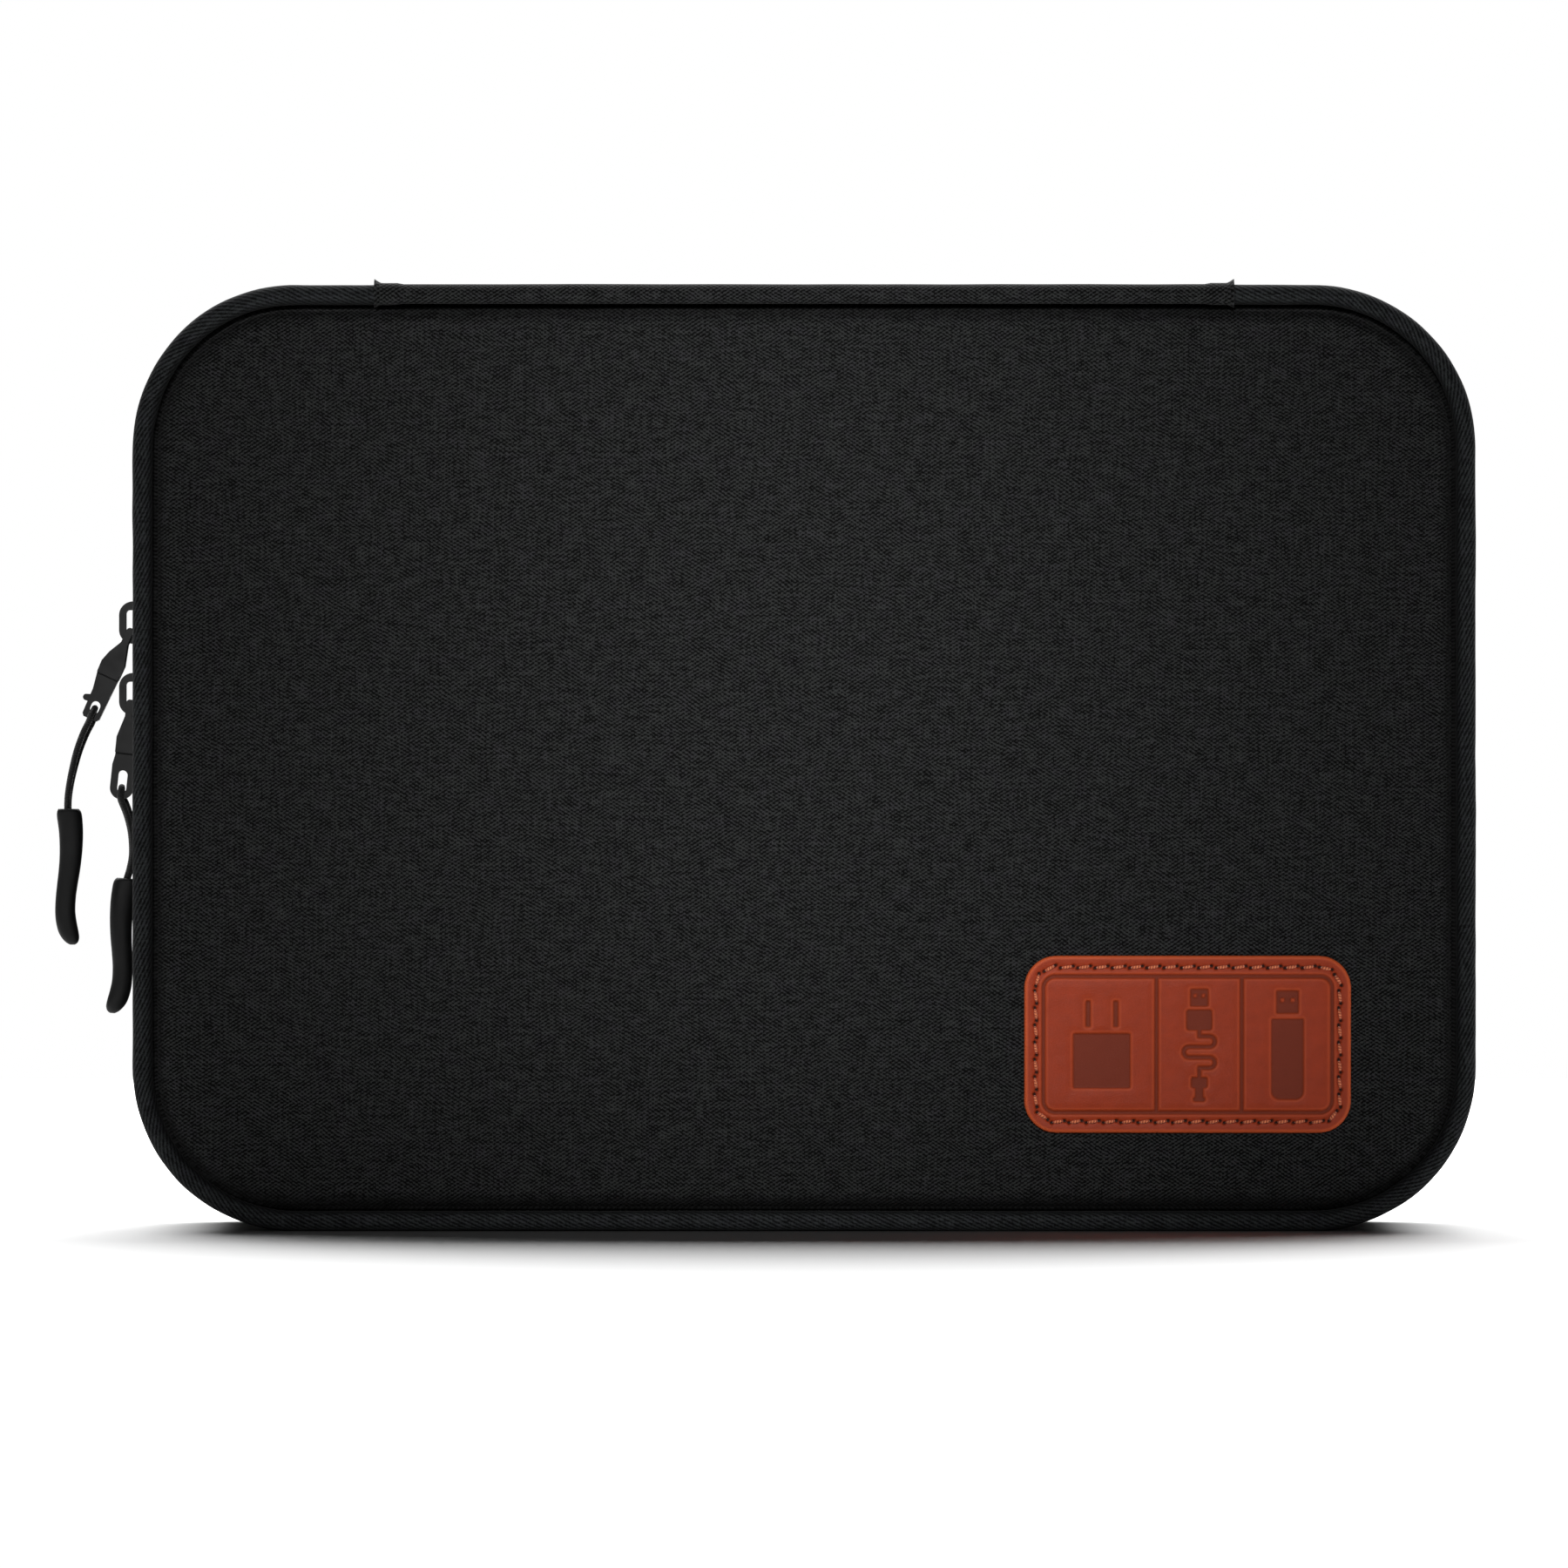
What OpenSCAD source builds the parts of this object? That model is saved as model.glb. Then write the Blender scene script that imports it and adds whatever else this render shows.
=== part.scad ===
// Cable organizer pouch: two padded halves joined by a fabric spine along the top edge and closed
// by a zip with two sliders that runs round the other three sides. Millimetres. x runs right,
// y runs back and z runs up. The closed pouch stands on z = 0 and its halves meet at y = 0.
// Each half is drawn lying flat, with x and y across it and its depth from the meeting plane
// along z, then stood up as the front or the back. An "inset" is measured in from the outline.

/* [Body] */
// Width over the piping
body_w = 247; // [200:1:300]
// Height over the piping
body_h = 174; // [140:1:220]
// Depth from front face to back face
body_d = 40; // [36:1:60]
// Corner radius of the outline
corner_r = 30; // [22:1:45]
// Half the length of the fabric spine
spine_half = 79; // [60:1:85]

/* [Layers] */
// Thickness of the woven cover fabric
fabric_t = 0.7; // [0.5:0.1:1]
// Thickness of the gusset fabric
gusset_t = 0.7; // [0.5:0.1:1]
// Thickness of the lining
lining_t = 0.5; // [0.3:0.1:0.8]
// Thickness of the zip tape
tape_t = 0.6; // [0.4:0.1:0.8]
// Thickness of the binding tape inside
binding_t = 0.7; // [0.5:0.1:1]

/* [Piping] */
// Diameter of the piping roll
welt_d = 4.2; // [3.6:0.1:5]
// Thickness of the tape round the piping cord
welt_t = 0.8; // [0.6:0.1:1]
// Depth of the seam allowance, measured in from the outline
seam_in = 8; // [7:0.5:10]
// Inset where the cover panel starts, just inside the piping
panel_in = 4.4; // [4.3:0.1:5]

/* [Zip] */
// Half the gap kept between the two rows of teeth
chain_gap = 0.6; // [0.6:0.05:0.8]
// Width of one row of teeth
teeth_w = 2.3; // [2:0.1:2.6]
// Thickness of the teeth
teeth_t = 2.4; // [2:0.1:2.6]
// Inset of the outside of the teeth
teeth_in = 0.4; // [0.3:0.1:0.6]
// Length of a slider's plates
slider_l = 10.6; // [9:0.1:12]
// Width of a slider's plates
slider_w = 8.5; // [8:0.1:9]
// Thickness of a slider's plates
plate_t = 1.3; // [1:0.1:1.3]
// Length of the crown, the loop that holds the pull
crown_l = 7.9; // [7:0.1:8.5]
// Height of the crown
crown_h = 2.8; // [2.6:0.1:3]
// Thickness of the crown's bar
crown_t = 1.3; // [1.1:0.1:1.4]
// Height of the upper slider's middle
upper_z = 112.2; // [100:0.1:130]
// Height of the lower slider's middle
lower_z = 98.9; // [90:0.1:98.9]

/* [Pulls] */
// Lean of the upper pull tab from straight down
upper_lean = 25; // [25:1:40]
// Lean of the lower pull tab from straight down
lower_lean = 6; // [6:0.5:10]
// Length of a pull tab below its crossbar
tab_l = 18; // [16:0.1:20]
// Width of the eye end of a pull tab
tab_w = 4.3; // [4:0.1:5]
// Thickness of the yoke that straddles the crown
yoke_t = 4.2; // [4:0.1:4.6]
// Thickness of the eye end of a pull tab
eye_t = 1.8; // [1.6:0.1:1.8]
// Diameter of the pull cord
cord_d = 1.2; // [1:0.1:1.2]
// Length of a rubber grip
grip_l = 25.2; // [22:0.1:28]
// Widest part of a rubber grip
grip_w = 4.8; // [4.4:0.1:5]
// Thickness of a rubber grip
grip_t = 4.2; // [3.8:0.1:4.6]

/* [Patch] */
// Width of the leather patch
patch_w = 60; // [50:1:70]
// Height of the leather patch
patch_h = 32.6; // [28:0.1:38]
// Thickness of the leather patch
patch_t = 1.4; // [1:0.1:2]
// Corner radius of the leather patch
patch_r = 6; // [4:0.5:8]
// Middle of the patch across the cover
patch_x = 70.4; // [60:0.1:75]
// Middle of the patch above the ground
patch_z = 34.4; // [30:0.1:45]
// Depth of the pressed marks
press_t = 0.35; // [0.2:0.05:0.6]

/* [Inside] */
// Inset of the mesh pocket
pocket_in = 14; // [12:1:20]
// Height of the mesh pocket's zip above the ground
pocket_zip_z = 138; // [120:1:142]
// Clear depth behind an elastic loop
loop_gap = 4.6; // [4.4:0.1:6]
// Thickness of the elastic
elastic_t = 1; // [0.8:0.1:1.2]
// Width of the elastic bands
elastic_w = 25; // [20:1:30]
// Number of loops on the upper band
upper_loops = 7; // [4:1:8]
// Number of loops on the lower band
lower_loops = 5; // [3:1:6]
// Top of the slip pocket above the ground
slip_top = 62; // [50:1:66]
// Half the width of the slip pocket
slip_half = 90; // [70:1:95]

/* [Node] */
// Piece to draw

/* [Hidden] */
$fn = 48;
charcoal = [0.11, 0.11, 0.115];
black = [0.06, 0.06, 0.065];
grey = [0.25, 0.25, 0.26];
terracotta = [0.55, 0.23, 0.14];

// Depths from the meeting plane, face side first.
half_d = body_d / 2;
face_d = half_d - fabric_t;
flange_d = face_d - welt_t;
shoulder_d = half_d - welt_d - gusset_t;
lining_d = shoulder_d - lining_t;
teeth_d = chain_gap + teeth_w;
gusset_d = 9;
parting = 0.3;

// Insets from the outline.
welt_r = welt_d / 2;
core_r = welt_r - welt_t;
gusset_in = 0.6;
tape_in = gusset_in + gusset_t;
binding_in = tape_in + tape_t;
plate_out = -1;
inner_plate_in = teeth_in + teeth_t + 0.1;

// The spine's folded ends lap over the last of the piping and stand proud of it.
hem_l = 3.2;
hem_lap = 1.6;
hem_t = 0.8;
zip_end = spine_half - 1;

// A pull tab, measured down from its crossbar.
crossbar_r = 0.55;
crossbar_down = 1.65;
crossbar_x = -body_w / 2 + plate_out - 0.7;
yoke_slot_w = 2.1;
yoke_slot_l = 5.2;
yoke_l = 9.3;
eye_top = 12.6;
eye_end = 16.8;
eye_w = 1.8;
bight_r = 1.9;
bight_down = 15.7;

// Rubber grips: how far each ring of the mould sits down the grip, how far it is bowed sideways,
// and its share of the full width.
grip_rings = [[0, 0, 0.8], [0.5, 0.1, 0.94], [1.5, 0.2, 1], [4, 0.45, 0.96], [6.5, 0.5, 0.92],
    [9, 0.4, 0.88], [11.5, 0.15, 0.85], [14, -0.2, 0.82], [16.5, -0.5, 0.8], [19, -0.6, 0.8],
    [21, -0.4, 0.82], [22.8, 0, 0.8], [24, 0.4, 0.68], [24.8, 0.65, 0.46], [25.2, 0.75, 0.2]];
upper_grip = [-136.4, -4.4, 77.6];
lower_grip = [-126.1, 2.6, 64.6];
lower_tilt = 4.5;
grip_bore = 5;

// Middle line of each pull cord from the tab's eye to inside the grip, as x, y and z, and how far
// each of its two strands stands from that line.
upper_strand = [[-132.6, 0, 93.9, 1.9], [-133.7, -0.4, 91.6, 1.8], [-134.8, -1.1, 88.6, 1.5],
    [-135.6, -2.1, 85.4, 1.15], [-136.2, -3.1, 82.2, 0.85], [-136.5, -3.9, 79.5, 0.68],
    [-136.5, -4.4, 77, 0.64], [-136.4, -4.4, 74.8, 0.64], [-136.3, -4.4, 72.6, 0.64]];
lower_strand = [[-126.6, 0.1, 79, 1.9], [-125.7, 0.4, 76.6, 1.75], [-125.1, 0.9, 74, 1.45],
    [-124.9, 1.5, 71.4, 1.1], [-125, 2.1, 68.8, 0.8], [-125.5, 2.5, 66.4, 0.66],
    [-126.2, 2.6, 64, 0.64], [-126.4, 2.6, 61.8, 0.64], [-126.5, 2.6, 59.6, 0.64]];
spread = [0.12, 0.99];

// ---------------------------------------------------------------- shared shapes

module rounded(w, h, r) {
    square([w - 2 * r, h], center = true);
    square([w, h - 2 * r], center = true);
    for (i = [-1, 1], j = [-1, 1]) {
        translate([i * (w / 2 - r), j * (h / 2 - r)]) circle(r);
    }
}

// A plate that follows the outline at an inset, between two depths.
module slab(inset, low, high) {
    translate([0, body_h / 2, low]) linear_extrude(high - low)
        rounded(body_w - 2 * inset, body_h - 2 * inset, corner_r - inset);
}

// One straight side of a ring: the profile's x is the inset and its y is the depth.
module run(length) {
    translate([0, length, 0]) rotate([90, 0, 0]) linear_extrude(length) children();
}

module corner() {
    rotate_extrude(angle = 90) translate([corner_r, 0]) mirror([1, 0]) children();
}

// Sweeps a profile round the outline. The top run is left open by "gap" each side of the middle.
module ring(gap = 0) {
    side_l = body_h - 2 * corner_r;
    top_l = body_w / 2 - corner_r - gap;
    mid_x = body_w / 2 - corner_r;
    for (side = [0, 1]) mirror([side, 0, 0]) {
        translate([-body_w / 2, corner_r, 0]) run(side_l) children();
        translate([-mid_x, body_h, 0]) rotate([0, 0, -90]) run(top_l) children();
        translate([0, 0, 0]) rotate([0, 0, 90]) run(mid_x) children();
        translate([mid_x, body_h - corner_r, 0]) corner() children();
        translate([mid_x, corner_r, 0]) rotate([0, 0, -90]) corner() children();
    }
}

// A profile run straight along the top edge, between two distances from the middle.
module top_run(from, to) {
    translate([from, body_h, 0]) rotate([0, 0, -90]) run(to - from) children();
}

module front() {
    rotate([90, 0, 0]) children();
}

module back() {
    mirror([0, 1, 0]) rotate([90, 0, 0]) children();
}

// ---------------------------------------------------------------- layers of one half

module cover_fabric() {
    slab(panel_in, face_d, half_d);
}

// The foam fills the cover between its fabric and its lining and steps round the seam allowances.
module cover_foam() {
    slab(seam_in, flange_d - gusset_t, face_d);
    slab(panel_in + 0.5, shoulder_d, flange_d - gusset_t);
}

module cover_lining() {
    slab(tape_in, lining_d, shoulder_d);
}

module welt_profile() {
    difference() {
        union() {
            translate([welt_r, half_d - welt_r]) circle(welt_r);
            translate([welt_r + 1.2, flange_d]) square([seam_in - welt_r - 1.2, welt_t]);
        }
        translate([welt_r, half_d - welt_r]) circle(core_r);
    }
}

module piping_tape() {
    ring(spine_half - hem_l) welt_profile();
}

module piping_cord() {
    ring() translate([welt_r, half_d - welt_r]) circle(core_r);
}

// The gusset turns in under the piping, sits in the seam, and runs back to the zip.
module gusset() {
    turn_in = 4.2;
    top = half_d - welt_d;
    ring(spine_half) polygon([[turn_in, flange_d], [seam_in, flange_d], [seam_in, flange_d - gusset_t],
        [turn_in + gusset_t, flange_d - gusset_t], [turn_in + gusset_t, shoulder_d],
        [tape_in, shoulder_d], [tape_in, gusset_d], [gusset_in, gusset_d], [gusset_in, top],
        [turn_in, top]]);
}

module zip_tape() {
    ring(zip_end) translate([tape_in, teeth_d]) square([tape_t, lining_d - teeth_d]);
}

module zip_teeth() {
    ring(zip_end) translate([teeth_in, chain_gap]) square([teeth_t, teeth_w]);
}

// Binding tape folded over the raw edges inside the corner between lining and gusset.
module inner_binding() {
    wide = 3.6;
    ring(spine_half) polygon([[binding_in, lining_d], [binding_in + wide, lining_d],
        [binding_in + wide, lining_d - binding_t], [binding_in + binding_t, lining_d - binding_t],
        [binding_in + binding_t, lining_d - wide], [binding_in, lining_d - wide]]);
}

module spine_profile() {
    difference() {
        union() {
            translate([welt_r, half_d - welt_r]) circle(welt_r);
            translate([welt_r + 1.2, flange_d]) square([seam_in - welt_r - 1.2, welt_t]);
            translate([0, parting]) square([hem_t, half_d - welt_r - parting]);
        }
        translate([welt_r, half_d - welt_r]) circle(core_r);
    }
}

// Where the spine's end is folded under, it doubles and laps over the piping.
module spine_hem_profile() {
    difference() {
        union() {
            intersection() {
                translate([welt_r, half_d - welt_r]) circle(welt_r + hem_t);
                translate([-hem_t, half_d - welt_r]) square([welt_r + 2 * hem_t, welt_r + hem_t]);
            }
            translate([-hem_t, parting]) square([2 * hem_t, half_d - welt_r - parting]);
        }
        translate([welt_r, half_d - welt_r]) circle(welt_r);
    }
}

module spine_fabric() {
    top_run(-spine_half + hem_l, spine_half - hem_l) spine_profile();
    for (side = [0, 1]) mirror([side, 0, 0])
        top_run(spine_half - hem_l - hem_lap, spine_half) spine_hem_profile();
}

module spine_foam() {
    top_run(-spine_half + 6, spine_half - 6)
        translate([hem_t, 1.5]) square([1.2, lining_d - 1.5]);
}

module spine_lining() {
    top_run(-spine_half + 3, spine_half - 3)
        translate([hem_t + 1.2, parting]) square([lining_t, lining_d - parting]);
}

// ---------------------------------------------------------------- leather patch

module patch_marks() {
    frame_w = patch_w - 7.6;
    frame_h = patch_h - 8;
    line = 0.5;
    difference() {
        rounded(frame_w, frame_h, 2.2);
        rounded(frame_w - 2 * line, frame_h - 2 * line, 1.7);
    }
    for (x = [-5.8, 9.9]) translate([x, 0]) square([line, frame_h], center = true);
}

// A plug-in charger: a block under two blades.
module charger_mark() {
    square([10.4, 10], center = true);
    for (x = [-2.6, 2.6]) translate([x, 8.6]) square([0.8, 4.6], center = true);
}

// A cable: a plug with two windows, its grip, a cord that winds through four rows, and a small plug.
module cable_mark() {
    line = 0.6;
    pitch = 1.6;
    half = 1.9;
    top = 1.4;
    translate([0, 8.6]) difference() {
        square([3.4, 3.2], center = true);
        for (x = [-0.75, 0.75]) translate([x, 0.3]) square(0.6, center = true);
    }
    translate([0, 4.4]) square([4.8, 4.2], center = true);
    translate([-line / 2, top]) square([line, 1.4]);
    for (i = [0:3]) translate([i % 3 == 0 ? 0 : -half, top - i * pitch - line / 2])
        square([i % 3 == 0 ? half : 2 * half, line]);
    for (i = [0:2]) mirror([i % 2, 0]) translate([half, top - (i + 0.5) * pitch]) intersection() {
        difference() {
            circle((pitch + line) / 2);
            circle((pitch - line) / 2);
        }
        translate([0, -pitch]) square(2 * pitch);
    }
    translate([-line / 2, -6.4]) square([line, top - 3 * pitch + 6.4]);
    translate([0, -7]) square([3, 2.2], center = true);
    translate([0, -9.6]) square([1.8, 2], center = true);
}

// A memory stick: a metal end with two windows above a long body.
module stick_mark() {
    difference() {
        translate([0, 7.8]) square([4.2, 4.2], center = true);
        for (x = [-1, 1]) translate([x, 8.2]) square(0.7, center = true);
    }
    translate([0, -2.8]) rounded(6, 14.6, 1.2);
}

module leather_patch() {
    color(terracotta) front() translate([patch_x, patch_z, half_d]) difference() {
        linear_extrude(patch_t) rounded(patch_w, patch_h, patch_r);
        translate([0, 0, patch_t - press_t]) linear_extrude(press_t + 1) {
            patch_marks();
            translate([-15.9, -3.1]) charger_mark();
            translate([2.1, 0]) cable_mark();
            translate([18.3, 0]) stick_mark();
        }
    }
}

// One stitch, lying along x and slanted a little.
module stitch() {
    rotate([0, 0, 8]) translate([-1.15, -0.3, 0]) cube([2.3, 0.6, 0.3]);
}

module patch_stitching() {
    inset = 2;
    pitch = 3.1;
    w = patch_w - 2 * inset;
    h = patch_h - 2 * inset;
    r = patch_r - inset;
    along = floor((w - 2 * r) / pitch);
    up = floor((h - 2 * r) / pitch);
    color(terracotta) front() translate([patch_x, patch_z, half_d + patch_t]) {
        for (turn = [0, 180]) rotate([0, 0, turn]) {
            for (i = [0:along]) translate([(i - along / 2) * pitch, h / 2, 0]) stitch();
            for (i = [0:up]) translate([w / 2, (i - up / 2) * pitch, 0]) rotate([0, 0, -90]) stitch();
            for (side = [-1, 1]) translate([w / 2 - r, side * (h / 2 - r), 0])
                rotate([0, 0, side * 45]) translate([r, 0, 0]) rotate([0, 0, -90]) stitch();
        }
    }
}

// ---------------------------------------------------------------- mesh pocket inside the front

pocket_d = lining_d - 2.2;
mesh_t = 0.5;
zip_slot = 4.5;
coil_t = 1.8;
coil_w = 2;
mesh_zip_half = body_w / 2 - pocket_in - 14;

module mesh_pocket() {
    color(grey) front() difference() {
        slab(pocket_in + 1, pocket_d - mesh_t, pocket_d);
        translate([-mesh_zip_half, pocket_zip_z - zip_slot, pocket_d - 1])
            cube([2 * mesh_zip_half, 2 * zip_slot, 2]);
    }
}

module mesh_pocket_binding() {
    wide = 4;
    color(black) front() difference() {
        slab(pocket_in, pocket_d, lining_d);
        slab(pocket_in + wide, pocket_d - 1, lining_d + 1);
    }
}

// Both tapes of the pocket's zip, each sewn over one edge of the slot in the mesh.
module mesh_zip_tape() {
    color(black) front() for (side = [0, 1]) translate([0, pocket_zip_z, 0]) mirror([0, side, 0])
        translate([-mesh_zip_half, 0.4 + coil_w, pocket_d - mesh_t - tape_t])
            cube([2 * mesh_zip_half, 6, tape_t]);
}

module mesh_zip_teeth() {
    color(black) front() for (side = [0, 1]) translate([0, pocket_zip_z, 0]) mirror([0, side, 0])
        translate([-mesh_zip_half, 0.4, pocket_d - mesh_t - tape_t / 2 - coil_t / 2])
            cube([2 * mesh_zip_half, coil_w, coil_t]);
}

mesh_slider_x = -mesh_zip_half + 6;
mesh_slider_d = pocket_d - mesh_t - tape_t / 2;
mesh_plate_t = 0.8;

module mesh_slider() {
    far = coil_t / 2 + 0.1;
    color(grey) front() translate([mesh_slider_x, pocket_zip_z, mesh_slider_d]) {
        translate([0, 0, far]) linear_extrude(mesh_plate_t) rounded(8, 6.4, 1.2);
        translate([0, 0, -far - mesh_plate_t]) linear_extrude(mesh_plate_t) rounded(8, 6.4, 1.2);
        translate([1.6, -0.3, -far]) cube([2, 0.6, 2 * far]);
        for (x = [-2.7, 1.7]) translate([x, -0.7, -far - mesh_plate_t - 1.8]) cube([1, 1.4, 1.8]);
        translate([-2.7, -0.7, -far - mesh_plate_t - 2.6]) cube([5.4, 1.4, 0.8]);
    }
}

// A flat tab whose end bar passes under the crown; it lies along the zip.
module mesh_pull_tab() {
    bar_d = -coil_t / 2 - 0.1 - mesh_plate_t - 0.9;
    color(grey) front() translate([mesh_slider_x, pocket_zip_z, mesh_slider_d + bar_d]) {
        difference() {
            translate([0, -2, -0.6]) cube([13, 4, 1.2]);
            translate([-1, -1, -2]) cube([5, 2, 4]);
            translate([10.6, 0, -2]) cylinder(h = 4, r = 1);
        }
        translate([0, 2, 0]) rotate([90, 0, 0]) cylinder(h = 4, r = 0.6);
    }
}

// ---------------------------------------------------------------- loops and slip pocket inside the back

// One elastic band sewn down between loops that stand off the lining.
module loop_band(count, pitch, low) {
    foot = 6;
    rise = loop_gap + elastic_t;
    loop_w = pitch - foot;
    start = -count * pitch / 2 - foot / 2;
    translate([0, low, lining_d]) {
        for (i = [0:count]) translate([start + i * pitch, 0, -elastic_t]) cube([foot, elastic_w, elastic_t]);
        for (i = [0:count - 1]) translate([start + foot + i * pitch, 0, -rise]) difference() {
            cube([loop_w, elastic_w, rise]);
            translate([elastic_t, -1, elastic_t]) cube([loop_w - 2 * elastic_t, elastic_w + 2, rise]);
        }
    }
}

module upper_cable_loops() {
    color(black) back() loop_band(upper_loops, 26, 118);
}

module lower_cable_loops() {
    color(black) back() loop_band(lower_loops, 36, 80);
}

module slip_pocket() {
    low = 12;
    wall = 0.8;
    rise = loop_gap + wall;
    color(grey) back() translate([0, low, lining_d - rise]) difference() {
        translate([-slip_half, 0, 0]) cube([2 * slip_half, slip_top - low, rise]);
        for (side = [0, 1]) mirror([side, 0, 0])
            translate([wall / 2, wall, wall]) cube([slip_half - 1.5 * wall, slip_top, rise]);
    }
}

module slip_pocket_hem() {
    hem = 8;
    front_d = lining_d - loop_gap - 0.8;
    color(black) back() translate([-slip_half, slip_top - hem, front_d - binding_t])
        cube([2 * slip_half, hem, binding_t]);
}

// ---------------------------------------------------------------- sliders, tabs, cords and grips

// A slider in its own place on the left side. Its divider is at the end facing the other slider.
module slider(height, facing) {
    left = -body_w / 2;
    lip_w = 1;
    lip_t = 0.75;
    lip_y = slider_w / 2 - lip_w;
    tape_gap = [tape_in - 0.25, tape_in + tape_t + 0.25];
    translate([left, 0, height]) {
        for (x = [plate_out, inner_plate_in]) translate([x, 0, 0])
            rotate([90, 0, 90]) linear_extrude(plate_t) rounded(slider_w, slider_l, 1.6);
        translate([plate_out + plate_t, -0.42, facing * 3.6 - 1.3])
            cube([inner_plate_in - plate_out - plate_t, 0.84, 2.6]);
        translate([plate_out + plate_t, lip_y, -slider_l / 2 + 1.6])
            cube([tape_gap[0] - plate_out - plate_t, lip_w, slider_l - 3.2]);
        translate([tape_gap[1], lip_y, -slider_l / 2 + 1.6])
            cube([inner_plate_in - tape_gap[1], lip_w, slider_l - 3.2]);
        crown();
    }
}

// The crown is an arch on the outer plate, cut from a rounded block that reaches into the plate.
module crown() {
    thick = 1.8;
    foot = 0.4;
    block_h = 2 * crown_h + 2;
    hole_h = crown_h - crown_t;
    hole_l = 4.6;
    translate([plate_out, thick / 2, 0]) rotate([90, 0, 0]) linear_extrude(thick) difference() {
        intersection() {
            translate([block_h / 2 - crown_h, 0]) rounded(block_h, crown_l, 2.6);
            translate([-crown_h - 1, -crown_l]) square([crown_h + 1 + foot, 2 * crown_l]);
        }
        hull() {
            for (y = [-1, 1]) translate([-hole_h + 0.7, y * (hole_l / 2 - 0.7)]) circle(0.7);
            translate([-0.1, -hole_l / 2]) square([0.1, hole_l]);
        }
    }
}

module upper_slider() {
    color(black) slider(upper_z, -1);
}

module lower_slider() {
    color(black) slider(lower_z, 1);
}

// Half widths of the pull tabs at distances down from the crossbar. The upper tab is fuller on its
// outer side and ends square; the lower one ends in a round eye.
upper_outer = [[0, 0.65], [2.5, 0.65], [5, 1.9], [7, 2.5], [9.5, 2.4], [12.5, 1.85], [17.4, 1.7], [17.9, 1.3]];
upper_inner = [[0, 0.65], [2.5, 0.65], [6.4, 1.8], [9.8, 1.8], [12.5, 1.75], [17.4, 1.7], [17.9, 1.3]];
lower_edge = [[0, 0.65], [2.5, 0.65], [6.4, 1.8], [9.8, 1.8], [11.6, tab_w / 2], [tab_l - tab_w / 2, tab_w / 2]];

// Outline of a pull tab hanging from the origin: a narrow neck, a shank and its end.
module tab_outline(outer, inner) {
    polygon(concat([for (p = outer) [-p[1], -p[0]]],
        [for (i = [len(inner) - 1:-1:0]) [inner[i][1], -inner[i][0]]]));
    circle(0.65);
}

module upper_outline() {
    tab_outline(upper_outer, upper_inner);
    hull() {
        translate([-1, -14.2]) circle(0.8);
        translate([-2.3, -14.5]) circle(0.6);
    }
}

module lower_outline() {
    tab_outline(lower_edge, lower_edge);
    translate([0, -tab_l + tab_w / 2]) circle(tab_w / 2);
}

module eye_slot(top) {
    r = eye_w / 2;
    for (y = [top + r, eye_end - r]) translate([0, -y]) circle(r);
    translate([-r, -eye_end + r]) square([2 * r, eye_end - top - 2 * r]);
}

// A pull tab on its crossbar: a yoke that straddles the crown, then a thinner plate with an eye.
module pull_tab(height, lean, top) {
    wide = 2 * tab_w;
    translate([crossbar_x, 0, height - crossbar_down]) rotate([0, lean, 0]) {
        difference() {
            translate([0, yoke_t / 2, 0]) rotate([90, 0, 0]) linear_extrude(yoke_t) intersection() {
                children();
                translate([-wide / 2, -yoke_l]) square([wide, yoke_l + 2]);
            }
            translate([-wide / 2, -yoke_slot_w / 2, -yoke_slot_l]) cube([wide, yoke_slot_w, 2 * yoke_slot_l]);
        }
        translate([0, eye_t / 2, 0]) rotate([90, 0, 0]) linear_extrude(eye_t) difference() {
            intersection() {
                children();
                translate([-wide / 2, -tab_l - 1]) square([wide, tab_l + 1 - yoke_slot_l]);
            }
            eye_slot(top);
        }
        translate([0, yoke_t / 2, 0]) rotate([90, 0, 0]) cylinder(h = yoke_t, r = crossbar_r);
    }
}

module upper_pull_tab() {
    color(black) pull_tab(upper_z, upper_lean, eye_top + 1.8) upper_outline();
}

module lower_pull_tab() {
    color(black) pull_tab(lower_z, lower_lean, eye_top) lower_outline();
}

function unit(v) = v / norm(v);

// Direction of the path at point i.
function heading(path, i) = unit(path[min(i + 1, len(path) - 1)] - path[max(i - 1, 0)]);

// Ring of points round path point i; the first half size is along x and the second across it.
function ring_points(path, sizes, i, sides) =
    let (t = heading(path, i))
    let (u = unit([1, 0, 0] - t[0] * t))
    let (v = cross(t, u))
    [for (k = [0:sides - 1]) path[i] + u * sizes[i][0] * cos(360 * k / sides)
        + v * sizes[i][1] * sin(360 * k / sides)];

// One closed tube along a path, with its own pair of half sizes at every point.
module sweep(path, sizes, sides) {
    last = len(path) - 1;
    points = [for (i = [0:last]) each ring_points(path, sizes, i, sides)];
    walls = [for (i = [0:last - 1], k = [0:sides - 1])
        let (a = i * sides + k, b = i * sides + (k + 1) % sides)
        each [[a, a + sides, b], [b, a + sides, b + sides]]];
    caps = [[for (k = [0:sides - 1]) k], [for (k = [sides - 1:-1:0]) last * sides + k]];
    polyhedron(points = points, faces = concat(walls, caps));
}

// Where the cord's bight sits in a tab's eye, at an angle round the bight.
function bight_point(height, lean, angle) =
    let (down = bight_down + bight_r * (1 - cos(angle)))
    [crossbar_x - down * sin(lean), bight_r * sin(angle), height - crossbar_down - down * cos(lean)];

// One strand's place beside the middle line. The two strands lie a little askew.
function strand_point(p, side) = [p[0] + side * spread[0] * p[3], p[1] + side * spread[1] * p[3], p[2]];

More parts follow.
